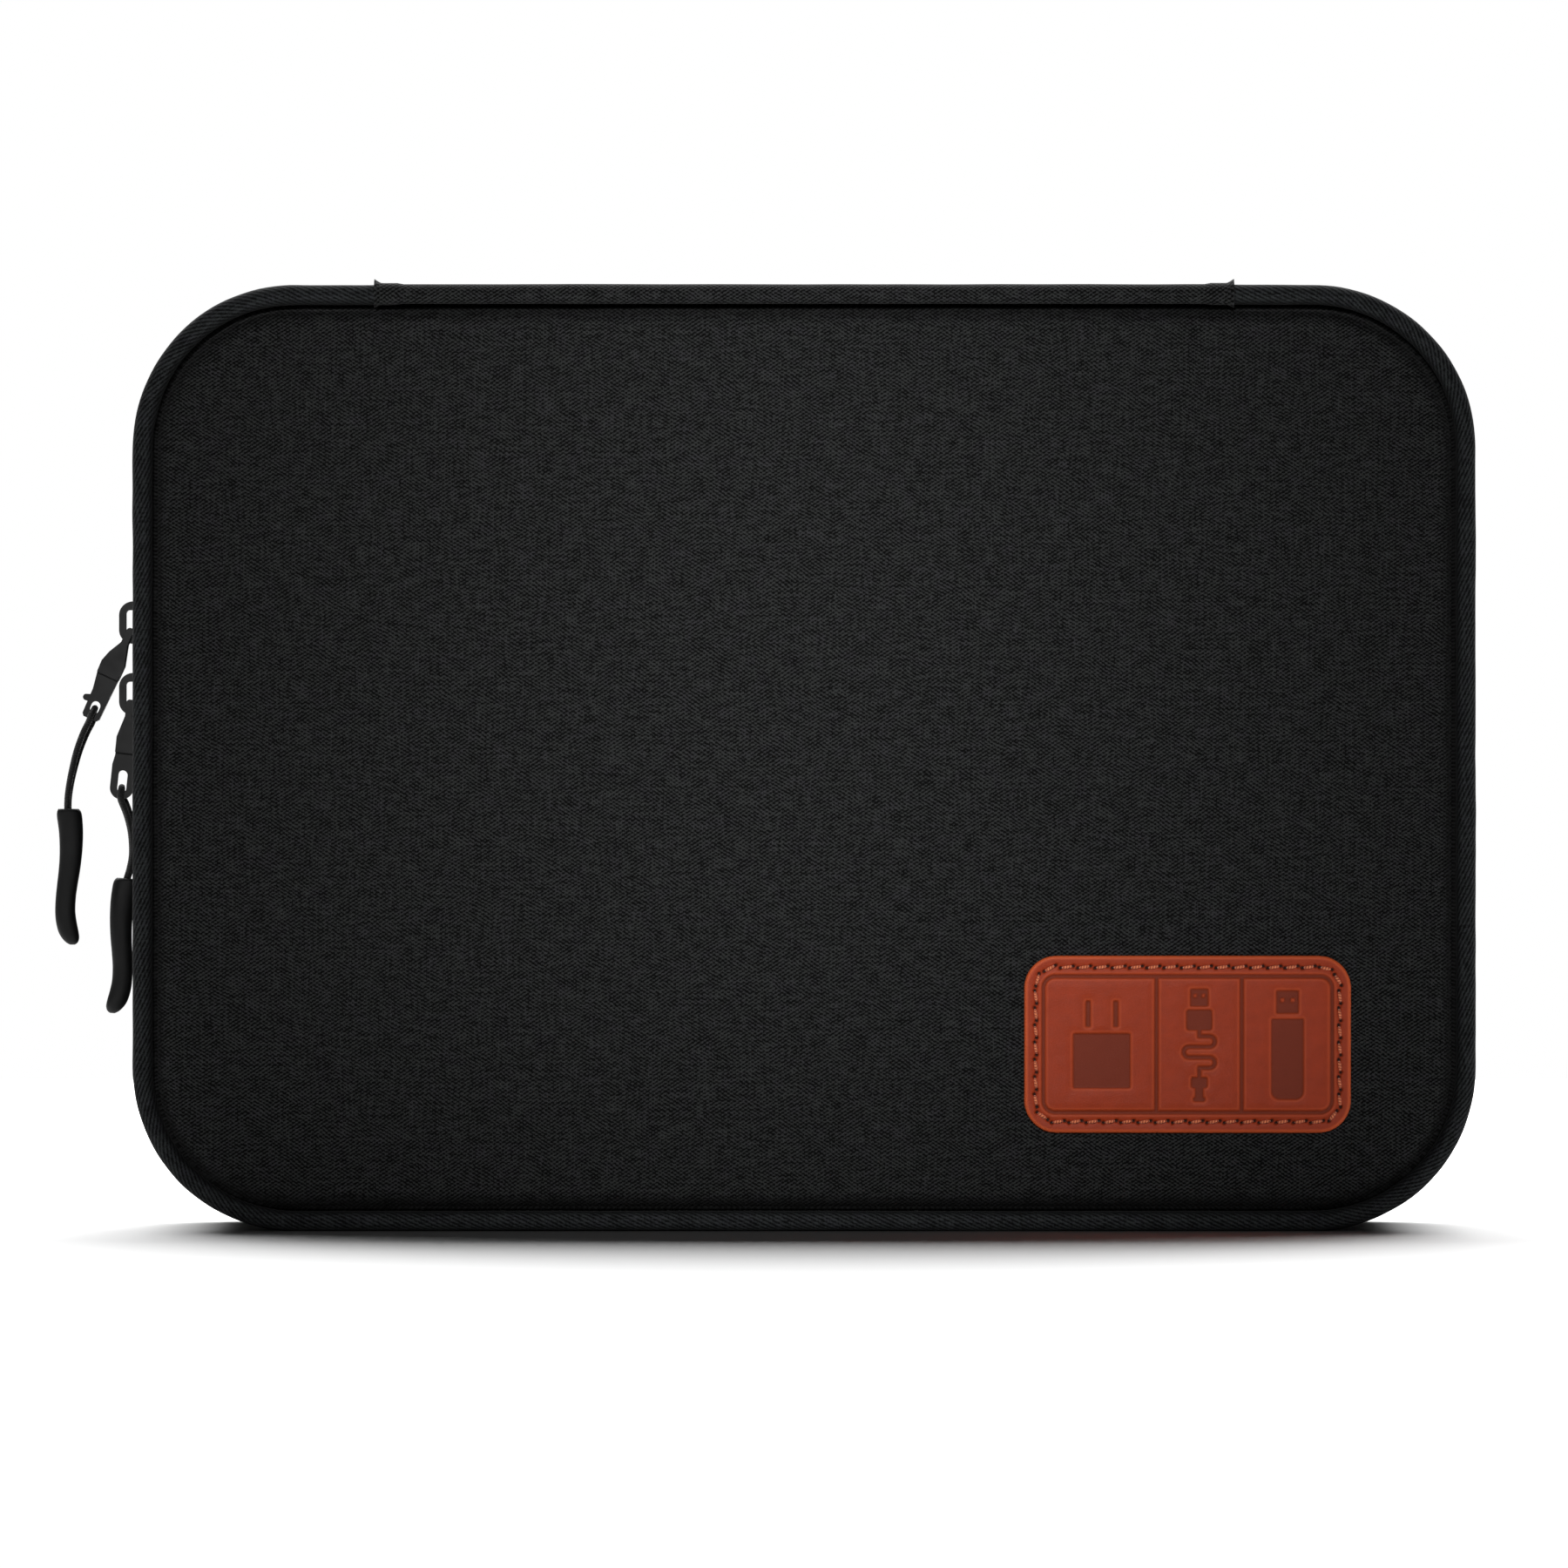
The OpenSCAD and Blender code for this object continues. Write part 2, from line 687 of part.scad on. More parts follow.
// A loop of cord: up one strand, through the eye, and down the other strand.
function loop_path(strand, height, lean) = concat(
    [for (i = [len(strand) - 1:-1:0]) strand_point(strand[i], 1)],
    [for (angle = [85:-17:-85]) bight_point(height, lean, angle)],
    [for (p = strand) strand_point(p, -1)]);

module pull_cord(strand, height, lean) {
    path = loop_path(strand, height, lean);
    sweep(path, [for (p = path) [cord_d / 2, cord_d / 2]], 8);
}

module upper_pull_cord() {
    color(black) pull_cord(upper_strand, upper_z, upper_lean);
}

module lower_pull_cord() {
    color(black) pull_cord(lower_strand, lower_z, lower_lean);
}

// A bowed rubber grip hanging from its mouth, with a bore for the two strands.
module pull_grip(mouth, bow, tilt) {
    scale_l = grip_l / 25.2;
    path = [for (r = grip_rings) [bow * r[1], 0, -r[0] * scale_l]];
    sizes = [for (r = grip_rings) [grip_w / 2 * r[2], grip_t / 2 * min(1, r[2] * 1.08)]];
    translate(mouth) rotate([0, tilt, 0]) difference() {
        sweep(path, sizes, 20);
        translate([bow * 0.2, 0, -grip_bore]) cylinder(h = grip_bore + 1, r = 1.42);
    }
}

module upper_pull_grip() {
    color(black) pull_grip(upper_grip, 1, 0);
}

module lower_pull_grip() {
    color(black) pull_grip(lower_grip, -1, lower_tilt);
}

// ---------------------------------------------------------------- the pieces of each half

module front_cover_fabric() { color(charcoal) front() cover_fabric(); }
module front_foam() { color(grey) front() cover_foam(); }
module front_lining() { color(black) front() cover_lining(); }
module front_piping_tape() { color(black) front() piping_tape(); }
module front_piping_cord() { color(grey) front() piping_cord(); }
module front_gusset() { color(charcoal) front() gusset(); }
module front_zip_tape() { color(black) front() zip_tape(); }
module front_zip_teeth() { color(black) front() zip_teeth(); }
module front_binding() { color(black) front() inner_binding(); }
module front_spine_fabric() { color(charcoal) front() spine_fabric(); }
module front_spine_foam() { color(grey) front() spine_foam(); }
module front_spine_lining() { color(black) front() spine_lining(); }
module back_cover_fabric() { color(charcoal) back() cover_fabric(); }
module back_foam() { color(grey) back() cover_foam(); }
module back_lining() { color(black) back() cover_lining(); }
module back_piping_tape() { color(black) back() piping_tape(); }
module back_piping_cord() { color(grey) back() piping_cord(); }
module back_gusset() { color(charcoal) back() gusset(); }
module back_zip_tape() { color(black) back() zip_tape(); }
module back_zip_teeth() { color(black) back() zip_teeth(); }
module back_binding() { color(black) back() inner_binding(); }
module back_spine_fabric() { color(charcoal) back() spine_fabric(); }
module back_spine_foam() { color(grey) back() spine_foam(); }
module back_spine_lining() { color(black) back() spine_lining(); }

front_cover_fabric();
front_foam();
front_lining();
front_piping_tape();
front_piping_cord();
front_gusset();
front_zip_tape();
front_zip_teeth();
front_binding();
front_spine_fabric();
front_spine_foam();
front_spine_lining();
leather_patch();
patch_stitching();
mesh_pocket();
mesh_pocket_binding();
mesh_zip_tape();
mesh_zip_teeth();
mesh_slider();
mesh_pull_tab();
back_cover_fabric();
back_foam();
back_lining();
back_piping_tape();
back_piping_cord();
back_gusset();
back_zip_tape();
back_zip_teeth();
back_binding();
back_spine_fabric();
back_spine_foam();
back_spine_lining();
upper_cable_loops();
lower_cable_loops();
slip_pocket();
slip_pocket_hem();
upper_slider();
upper_pull_tab();
upper_pull_cord();
upper_pull_grip();
lower_slider();
lower_pull_tab();
lower_pull_cord();
lower_pull_grip();
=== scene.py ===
"""The looks of a padded cable organizer pouch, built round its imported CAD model.

Lengths in this file are millimetres, and make_mesh turns them into metres. x runs right, y runs
back and z runs up. An "inset" is measured in from the pouch's outline and a "depth" is measured
out from the plane y = 0 where the halves meet; side is -1 for the front half and 1 for the back.
"""

import math

import bmesh
import bpy
import numpy as np
from mathutils import Matrix, Vector, noise


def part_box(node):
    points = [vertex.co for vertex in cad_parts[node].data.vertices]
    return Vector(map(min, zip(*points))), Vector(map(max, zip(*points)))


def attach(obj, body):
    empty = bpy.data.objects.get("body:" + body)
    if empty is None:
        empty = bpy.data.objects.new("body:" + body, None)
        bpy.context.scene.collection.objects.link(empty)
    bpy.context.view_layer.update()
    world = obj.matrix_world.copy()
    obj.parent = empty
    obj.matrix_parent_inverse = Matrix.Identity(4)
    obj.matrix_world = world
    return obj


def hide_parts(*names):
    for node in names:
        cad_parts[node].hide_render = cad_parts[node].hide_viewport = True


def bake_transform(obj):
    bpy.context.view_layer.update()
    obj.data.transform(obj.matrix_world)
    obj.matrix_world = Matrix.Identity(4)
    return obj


MM = 0.001
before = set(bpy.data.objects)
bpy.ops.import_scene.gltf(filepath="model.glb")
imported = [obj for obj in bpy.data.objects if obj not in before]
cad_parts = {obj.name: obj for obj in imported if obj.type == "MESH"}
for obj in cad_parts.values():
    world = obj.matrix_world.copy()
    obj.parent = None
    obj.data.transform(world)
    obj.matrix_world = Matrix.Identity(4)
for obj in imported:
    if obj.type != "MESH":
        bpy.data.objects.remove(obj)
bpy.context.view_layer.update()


def span(node):
    """Lowest and highest corner of a CAD node."""
    low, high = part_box(node)
    return np.array(low) / MM, np.array(high) / MM


# ---------------------------------------------------------------- driving dimensions

# Half width and height of the outline, and the radius of its corners.
HALF_W = span("front_piping_tape")[1][0]
TOP = span("front_piping_tape")[1][2]
MID_Z = TOP / 2
CORNER = 30.0
# Where the corners begin, left and right of the middle.
CORNER_X = HALF_W - CORNER
# Depth of a cover's face at its rim, and how far its middle rises past that.
FACE = -span("front_cover_fabric")[0][1]
CROWN = 1.3
# Inset of a cover's padded panel, which leaves a dark groove beside the piping.
PANEL_IN = 4.2
# Radius of the piping, and the depth of its middle.
ROLL_R = 1.85
ROLL_DEPTH = FACE - ROLL_R
# Half length of the spine, and of the gaps in the piping and the zip that it covers.
SPINE_HALF = span("front_spine_fabric")[1][0]
PIPING_GAP = SPINE_HALF - 3.2
ZIP_GAP = SPINE_HALF - 1
# Depths of the lining's two faces.
LINING_DEPTH = -span("front_lining")[1][1]
LINING_BACK = -span("front_lining")[0][1]


# ---------------------------------------------------------------- camera

def add_camera():
    """A long lens at mid height, square to the front cover."""
    # The distance and the width of the view are in metres.
    distance, view_w = 1.6, 0.288
    sensor_w = 36
    look_x, look_z = -3.7, 82.2
    camera = bpy.data.objects.new("camera", bpy.data.cameras.new("camera"))
    bpy.context.scene.collection.objects.link(camera)
    camera.data.sensor_width = sensor_w
    camera.data.lens = sensor_w * distance / view_w
    camera.data.clip_end = 100
    camera.location = (look_x * MM, -FACE * MM - distance, look_z * MM)
    camera.rotation_euler = (math.pi / 2, 0, 0)
    bpy.context.scene.camera = camera


# ---------------------------------------------------------------- mesh helpers

def make_mesh(name, points, faces, attributes=None, closed=True):
    """A smooth mesh object from points in millimetres, with per-point attributes for materials."""
    mesh = bpy.data.meshes.new(name)
    mesh.from_pydata((np.asarray(points, float) * MM).tolist(), [], [list(f) for f in faces])
    for key, values in (attributes or {}).items():
        values = np.asarray(values, np.float32)
        if values.ndim == 2:
            layer = mesh.attributes.new(key, "FLOAT_VECTOR", "POINT")
            layer.data.foreach_set("vector", values.ravel())
        else:
            layer = mesh.attributes.new(key, "FLOAT", "POINT")
            layer.data.foreach_set("value", values)
    if closed:
        work = bmesh.new()
        work.from_mesh(mesh)
        bmesh.ops.recalc_face_normals(work, faces=work.faces)
        work.to_mesh(mesh)
        work.free()
    mesh.shade_smooth()
    made = bpy.data.objects.new(name, mesh)
    bpy.context.scene.collection.objects.link(made)
    return made


def grid_faces(rows, columns, wrap_columns=False, wrap_rows=False, start=0):
    """Faces of a grid of points stored row by row."""
    down = np.arange(rows if wrap_rows else rows - 1)
    across = np.arange(columns if wrap_columns else columns - 1)
    a, b = np.meshgrid(down, across, indexing="ij")
    a2, b2 = (a + 1) % rows, (b + 1) % columns
    quads = np.stack([a * columns + b, a * columns + b2, a2 * columns + b2, a2 * columns + b], -1)
    return (quads.reshape(-1, 4) + start).tolist()


def tube_faces(count, size, start=0):
    """Faces of a tube of rings that is closed at both ends."""
    last = start + (count - 1) * size
    ends = [list(range(start, start + size)), list(range(last + size - 1, last - 1, -1))]
    return grid_faces(count, size, wrap_columns=True, start=start) + ends


def loft(name, rings, cloth=None, closed_rows=False):
    """A closed solid through rings of points. "rings" is ring by point by xyz."""
    count, size = rings.shape[:2]
    faces = grid_faces(count, size, True, True) if closed_rows else tube_faces(count, size)
    attributes = {} if cloth is None else {"cloth": cloth.reshape(-1, 3)}
    return make_mesh(name, rings.reshape(-1, 3), faces, attributes)


def around(count):
    """Angles of points spaced evenly round a circle."""
    return np.arange(count) * 2 * math.pi / count


def arch(count, margin=0.0):
    """Heights from 0 up to 1 and down again, less a share of the run at either end."""
    return np.sin(np.linspace(margin, 1 - margin, count) * math.pi)


def read_off(at, along, rows):
    """Rows of values read off at distances along a path."""
    return np.stack([np.interp(at, along, column) for column in rows.T], -1)


def cloth_map(along, across):
    """Cloth coordinates for rings of points: distance along a piece and across it."""
    along, across = np.broadcast_arrays(np.asarray(along)[:, None], np.asarray(across)[None, :])
    return np.stack([along, across, np.zeros(along.shape)], -1)


def join(name, parts):
    """One mesh object out of several."""
    with bpy.context.temp_override(active_object=parts[0], selected_editable_objects=parts):
        bpy.ops.object.join()
    parts[0].name = name
    parts[0].data.name = name
    return parts[0]


def frames_along(path):
    """Two side directions at each point of a path, carried along it without twisting."""
    tangents = np.gradient(path, axis=0)
    tangents /= np.linalg.norm(tangents, axis=1)[:, None]
    askew = (0.31, 0.77, 0.55)
    first = np.cross(tangents[0], askew)
    side = first / np.linalg.norm(first)
    sides = []
    for tangent in tangents:
        side = side - tangent * (side @ tangent)
        side = side / np.linalg.norm(side)
        sides.append(side)
    sides = np.array(sides)
    return sides, np.cross(tangents, sides)


def tube_rings(path, radius, sides):
    """Rings of points round a path. The radius is one number or one for each point."""
    u, v = frames_along(path)
    angle = around(sides)
    radius = np.broadcast_to(np.asarray(radius, float), (len(path),))
    ring = u[:, None] * np.cos(angle)[None, :, None] + v[:, None] * np.sin(angle)[None, :, None]
    return path[:, None] + ring * radius[:, None, None]


def smooth_path(points, step):
    """A finely stepped curve through every one of the given points."""
    points = np.asarray(points, float)
    padded = np.vstack([2 * points[0] - points[1], points, 2 * points[-1] - points[-2]])
    out = []
    for i in range(1, len(padded) - 2):
        a, b, c, d = padded[i - 1 : i + 3]
        count = max(2, round(np.linalg.norm(c - b) / step))
        for t in np.arange(count) / count:
            out.append(
                0.5 * (2 * b + (c - a) * t + (2 * a - 5 * b + 4 * c - d) * t**2
                       + (3 * b - a - 3 * c + d) * t**3)
            )
    out.append(points[-1])
    return np.array(out)


def length_along(path):
    """Distance along a path to each of its points."""
    steps = np.linalg.norm(np.diff(path, axis=0), axis=1)
    return np.concatenate([[0], np.cumsum(steps)])


def walk(gap, step):
    """The pouch's outline from the left of the gap at the top round to its right.

    Gives the centre that each point's inset is measured towards, the outward direction there and
    the distance along the edge.
    """
    centres, normals = [], []
    low, high = CORNER, TOP - CORNER

    def stretch(a, b, facing, turn, length):
        """Points on the way from a to b, while the outward direction turns."""
        count = max(1, round(length / step))
        for share in np.arange(count) / count:
            angle = math.radians(facing + turn * share)
            centres.append((a[0] + (b[0] - a[0]) * share, a[1] + (b[1] - a[1]) * share))
            normals.append((math.cos(angle), math.sin(angle)))

    here = (-gap, high)
    for x, z, facing in [(-CORNER_X, high, 90), (-CORNER_X, low, 180), (CORNER_X, low, 270),
                         (CORNER_X, high, 360)]:
        stretch(here, (x, z), facing, 0, math.dist(here, (x, z)))
        stretch((x, z), (x, z), facing, 90, CORNER * math.pi / 2)
        here = (x, z)
    stretch(here, (gap, high), 90, 0, math.dist(here, (gap, high)))
    centres.append((gap, high))
    normals.append((0, 1))
    centres, normals = np.array(centres), np.array(normals, float)
    return centres, normals, length_along(centres + normals * CORNER)


def place(centres, normals, inset, depth, side, corner=CORNER):
    """Points at an inset and depth. Inset and depth are arrays of ring by profile point."""
    reach = corner - inset
    x = centres[:, None, 0] + normals[:, None, 0] * reach
    z = centres[:, None, 1] + normals[:, None, 1] * reach
    return np.stack([x, side * depth, z], -1)


def ring_solid(name, side, gap, profile, step, change=None):
    """A solid that runs round the outline with one closed profile of (inset, depth) points.

    "change" may alter the insets and depths along the way.
    """
    centres, normals, along = walk(gap, step)
    profile = np.asarray(profile, float)
    inset = np.repeat(profile[None, :, 0], len(along), 0)
    depth = np.repeat(profile[None, :, 1], len(along), 0)
    if change is not None:
        inset, depth = change(inset, depth, along, centres + normals * CORNER)
    points = place(centres, normals, inset, depth, side)
    across = length_along(np.vstack([profile, profile[:1]]))[:-1]
    return loft(name, points, cloth_map(along, across))


def wave(values, scale, seed):
    """Smooth noise from -1 to 1 along a list of distances."""
    return np.array([noise.noise(Vector((v / scale, seed, 0.37 * seed))) for v in values])


def noise_field(x, z, scale, seed):
    """Smooth noise from -1 to 1 over a grid of places."""
    flat = zip(x.ravel() / scale, z.ravel() / scale)
    return np.array([noise.noise(Vector((a, b, seed))) for a, b in flat]).reshape(x.shape)


def smooth(low, high, value):
    """Smooth step from 0 at low to 1 at high."""
    t = np.clip((value - low) / (high - low), 0, 1)
    return t * t * (3 - 2 * t)


def spaced(half, fine, coarse, band):
    """Places from -half to half, closely spaced within "band" of each end."""
    places, here, step = [0.0], 0.0, fine
    while here < half:
        step = fine if here < band else min(coarse, step * 1.15)
        here += step
        places.append(here)
    places = np.array(places) * half / places[-1]
    return np.concatenate([places - half, (half - places)[::-1][1:]])


def rounded_distance(x, z, half_w, half_h, corner):
    """Distance outside a rounded rectangle, negative within it."""
    qx = np.abs(x) - half_w + corner
    qz = np.abs(z) - half_h + corner
    return np.hypot(np.maximum(qx, 0), np.maximum(qz, 0)) + np.minimum(np.maximum(qx, qz), 0) - corner


def half_width_at(z, half_w, half_h, corner):
    """Half width of a rounded rectangle at a height."""
    over = np.maximum(np.abs(z) - half_h + corner, 0)
    return half_w - corner + np.sqrt(np.maximum(corner**2 - over**2, 0))


def rounded_grid(half_w, half_h, corner, columns, rows):
    """A grid that fills a rounded rectangle, with its edge points on the outline."""
    reach = half_width_at(rows, half_w, half_h, corner)
    x = columns[None, :] / half_w * reach[:, None]
    z = np.repeat(rows[:, None], len(columns), 1)
    return x, z


def rim(rows, columns):
    """Indices of a grid's border points, in order round it."""
    top = list(range(columns))
    right = [r * columns + columns - 1 for r in range(1, rows)]
    bottom = [(rows - 1) * columns + c for c in reversed(range(columns - 1))]
    left = [r * columns for r in reversed(range(1, rows - 1))]
    return top + right + bottom + left


def slab(name, side, x, z, outer, inner, attributes=None, inner_scale=1.0):
    """A closed slab over a grid of places, between an outer and an inner depth."""
    rows, columns = x.shape
    count = rows * columns
    top = np.stack([x, side * outer, z], -1).reshape(-1, 3)
    low_x, low_z = (c.mean() + (c - c.mean()) * inner_scale for c in (x, z))
    low = np.stack([low_x, side * inner, low_z], -1).reshape(-1, 3)
    faces = grid_faces(rows, columns) + grid_faces(rows, columns, start=count)
    edge = rim(rows, columns)
    faces += [[a, b, b + count, a + count] for a, b in zip(edge, edge[1:] + edge[:1])]
    cloth = np.stack([x, z, np.zeros(x.shape)], -1).reshape(-1, 3)
    layers = {"cloth": np.vstack([cloth, cloth])}
    for key, values in (attributes or {}).items():
        layers[key] = np.concatenate([values.ravel(), values.ravel() * 0])
    return make_mesh(name, np.vstack([top, low]), faces, layers)


def lookup(table, rows, columns, at_row, at_column):
    """Values of a table at places between its rows and columns."""
    r = np.interp(at_row, rows, np.arange(len(rows)))
    c = np.interp(at_column, columns, np.arange(len(columns)))
    r0 = np.clip(r.astype(int), 0, len(rows) - 2)
    c0 = np.clip(c.astype(int), 0, len(columns) - 2)
    fr, fc = r - r0, c - c0
    upper = table[r0, c0] * (1 - fc) + table[r0, c0 + 1] * fc
    lower = table[r0 + 1, c0] * (1 - fc) + table[r0 + 1, c0 + 1] * fc
    return upper * (1 - fr) + lower * fr


# ---------------------------------------------------------------- material helpers

class Finish:
    """A procedural material while it is being put together."""

    def __init__(self, name, sockets):
        self.made = bpy.data.materials.new(name)
        self.made.use_nodes = True
        self.tree = self.made.node_tree
        self.shader = self.tree.nodes["Principled BSDF"]
        for key, value in sockets.items():
            self.shader.inputs[key].default_value = value

    def feed(self, socket, value):
        if isinstance(value, bpy.types.NodeSocket):
            self.tree.links.new(value, socket)
        elif value is not None:
            socket.default_value = value

    def node(self, kind, inputs=None, **settings):
        made = self.tree.nodes.new("ShaderNode" + kind)
        for key, value in settings.items():
            setattr(made, key, value)
        for key, value in (inputs or {}).items():
            self.feed(made.inputs[key], value)
        return made

    def calc(self, operation, *values):
        return self.node("Math", dict(enumerate(values)), operation=operation).outputs[0]

    def plus(self, a, b):
        return self.calc("ADD", a, b)

    def minus(self, a, b):
        return self.calc("SUBTRACT", a, b)

    def times(self, a, b):
        return self.calc("MULTIPLY", a, b)

    def ease(self, value, low, high, to_low=0.0, to_high=1.0):
        inputs = {"Value": value, "From Min": low, "From Max": high,
                  "To Min": to_low, "To Max": to_high}
        made = self.node("MapRange", inputs, interpolation_type="SMOOTHSTEP")
        return made.outputs["Result"]

    def layer(self, name):
        """A number kept at each of the mesh's points."""
        return self.node("Attribute", attribute_name=name).outputs["Fac"]

    def cloth(self):
        """The mesh's cloth coordinates, in millimetres."""
        return self.node("Attribute", attribute_name="cloth").outputs["Vector"]

    def scaled(self, vector, scale):
        return self.node("VectorMath", {0: vector, 1: scale}, operation="MULTIPLY").outputs[0]

    def turned(self, vector, angle):
        inputs = {"Vector": vector, "Angle": angle}
        return self.node("VectorRotate", inputs, rotation_type="Z_AXIS").outputs[0]

    def split(self, vector):
        """The first two numbers of a vector."""
        return self.node("SeparateXYZ", {0: vector}).outputs[:2]

    def noise(self, vector, scale, detail=2.0, roughness=0.55):
        inputs = {"Vector": vector, "Scale": scale, "Detail": detail, "Roughness": roughness}
        return self.node("TexNoise", inputs).outputs["Fac"]

    def mix(self, factor, a, b, blend="MIX"):
        made = self.node("Mix", data_type="RGBA", blend_type=blend)
        self.feed(made.inputs[0], factor)
        self.feed(made.inputs[6], a)
        self.feed(made.inputs[7], b)
        return made.outputs[2]

    def bump(self, height, distance, strength):
        inputs = {"Height": height, "Distance": distance * MM, "Strength": strength}
        return self.node("Bump", inputs).outputs["Normal"]

    def finish(self, colour, normal=None, roughness=None):
        self.feed(self.shader.inputs["Base Color"], colour)
        self.feed(self.shader.inputs["Normal"], normal)
        self.feed(self.shader.inputs["Roughness"], roughness)
        return self.made


def grey(value, tint=(1.0, 1.0, 1.0)):
    return (value * tint[0], value * tint[1], value * tint[2], 1.0)


COOL = (0.95, 1.01, 1.05)
# Turns of the cord's braid to a millimetre of cord, and strands round it.
BRAID_ALONG, BRAID_ROUND = 7.0, 3.0


def woven(name, pitch, dark, light, tint, broken=1.0, flecks=1.0, ribs=0.8, skew=0.0, relief=0.09,
          lit_crest=None):
    """Twill cloth: slanting rows of threads that change their slant, with uneven threads.

    "pitch" is the distance between rows, "broken" is how much the slant changes, "ribs" is how
    strongly the rows show and "skew" turns the cloth onto the bias. The last argument is the line
    along the cloth that keeps the full colour; away from it the colour darkens, painted shade on
    the flanks of a round piping.
    """
    f = Finish(name, {"Roughness": 0.85, "Specular IOR Level": 0.08, "Sheen Weight": 0.025,
                      "Sheen Roughness": 0.45})
    cloth = f.cloth()
    bend = f.noise(cloth, 0.16, 2)
    shift = f.scaled(f.node("CombineXYZ", {0: bend, 1: bend}).outputs[0], (0.8, 0.8, 0))
    warped = f.node("VectorMath", {0: f.turned(cloth, skew), 1: shift}, operation="ADD").outputs[0]
    turn = 2 * math.pi / pitch
    slant = math.radians(33)
    u, v = f.split(f.scaled(warped, (turn * math.sin(slant), turn * math.cos(slant), 0)))
    rising = f.calc("SINE", f.minus(u, v))
    falling = f.calc("SINE", f.plus(u, v))
    patches = f.noise(f.scaled(warped, (0.5, 1, 0)), 0.35, 2)
    change = f.ease(patches, 0.4, 0.64, 0.34 * broken, 0.62 * broken)
    rows = f.plus(f.times(rising, f.minus(1.0, change)), f.times(falling, change))
    weft = f.noise(f.scaled(warped, (0.35, 2.6, 0)), 0.7, 2, 0.7)
    warp = f.noise(f.scaled(warped, (2.6, 0.35, 0)), 0.7, 2, 0.7)
    fibre = f.noise(warped, 3.2, 2, 0.7)
    shade = f.plus(f.times(rows, ribs), 0.42)
    for threads, strength in ((weft, 1.9), (warp, 1.5), (fibre, 1.9)):
        shade = f.plus(shade, f.times(f.minus(threads, 0.5), strength * flecks))
    colour = f.mix(shade, grey(dark, tint), grey(light, tint))
    # Painted shade: the colour darkens away from the lit crest line, shading a round roll's flanks.
    if lit_crest is not None:
        off_lit_crest = f.calc("ABSOLUTE", f.minus(f.split(cloth)[1], lit_crest))
        colour = f.mix(f.ease(off_lit_crest, 0.9, 2.7, 1.0, 0.2), grey(dark, tint), colour)
    greenish, bluish = (0.98, 1.015, 1.0, 1), (1.02, 0.99, 1.08, 1)
    hue = f.mix(f.ease(f.noise(cloth, 0.3, 2), 0.4, 0.75), greenish, bluish)
    colour = f.mix(1.0, colour, hue, "MULTIPLY")
    return f.finish(colour, f.bump(f.plus(f.times(rows, 0.5), fibre), relief, 0.9))


def moulded(name, value, roughness, specular, grain, relief=0.01):
    """Painted metal, nylon or rubber with a fine grain and slight wear."""
    f = Finish(name, {"Specular IOR Level": specular})
    at = f.scaled(f.node("TexCoord").outputs["Object"], (1 / MM, 1 / MM, 1 / MM))
    fine = f.noise(at, grain, 3)
    broad = f.noise(at, 0.25, 3)
    colour = f.mix(broad, grey(value * 0.75, COOL), grey(value * 1.3, COOL))
    rough = f.ease(broad, 0.2, 0.8, roughness - 0.08, roughness + 0.08)
    return f.finish(colour, f.bump(fine, relief, 0.6), rough)


def banded(name, pitch, value, tint, angle, relief=0.05):
    """Tape or elastic with fine slanting or straight ribs."""
    f = Finish(name, {"Roughness": 0.8, "Specular IOR Level": 0.25, "Sheen Weight": 0.1,
                      "Sheen Roughness": 0.5})
    cloth = f.cloth()
    u, v = f.split(f.scaled(f.turned(cloth, angle), (math.pi / pitch, math.pi / pitch, 0)))
    ribs = f.calc("ABSOLUTE", f.calc("SINE", u))
    cross = f.calc("ABSOLUTE", f.calc("SINE", f.times(v, 0.5)))
    height = f.plus(ribs, f.times(cross, 0.4))
    shade = f.plus(f.times(height, 0.45), f.times(f.noise(cloth, 0.4, 3), 0.5))
    colour = f.mix(shade, grey(value * 0.55, tint), grey(value * 1.5, tint))
    return f.finish(colour, f.bump(height, relief, 0.8))


def leather(name):
    """Terracotta leather, darker where it is pressed, with painted shade in its stitch holes and painted
    highlights along its rim and beside the pressed marks.
    """
    f = Finish(name, {"Specular IOR Level": 0.15})
    cloth, press = f.cloth(), f.layer("press")
    deep, bright = (0.20, 0.021, 0.004, 1), (0.285, 0.031, 0.006, 1)
    speck, pressed = (0.16, 0.024, 0.008, 1), (0.115, 0.018, 0.007, 1)
    # Colours for a painted highlight on the rims and painted shade in the stitch holes.
    edge_highlight, hole_shade = (0.62, 0.115, 0.035, 1), (0.012, 0.006, 0.005, 1)
    colour = f.mix(f.noise(cloth, 0.35, 4, 0.6), deep, bright)
    colour = f.mix(f.ease(f.noise(cloth, 2.6, 3, 0.6), 0.62, 0.8, 0.0, 0.35), colour, speck)
    colour = f.mix(f.times(press, 0.85), colour, pressed)
    # Painted highlight along the patch's rim and just outside the pressed marks.
    colour = f.mix(f.times(f.layer("lit_edges"), 0.5), colour, edge_highlight)
    # Painted shade: the stitch holes are coloured near black.
    colour = f.mix(f.layer("hole"), colour, hole_shade)
    pores = f.node("TexVoronoi", {"Vector": cloth, "Scale": 1.9}, feature="DISTANCE_TO_EDGE")
    pores = f.ease(pores.outputs["Distance"], 0.0, 0.18)
    grain = f.plus(f.times(pores, 0.5), f.noise(cloth, 4.0, 3))
    rough = f.ease(press, 0.0, 1.0, 0.52, 0.62)
    return f.finish(colour, f.bump(grain, 0.05, 0.55), rough)


def thread(name, low, high):
    """Twisted sewing thread."""
    f = Finish(name, {"Roughness": 0.6, "Specular IOR Level": 0.3, "Sheen Weight": 0.2})
    along, across = f.split(f.cloth())
    twist = f.calc("SINE", f.plus(f.times(along, 14.0), across))
    colour = f.mix(f.ease(twist, -1.0, 1.0), low, high)
    return f.finish(colour, f.bump(twist, 0.04, 0.7))


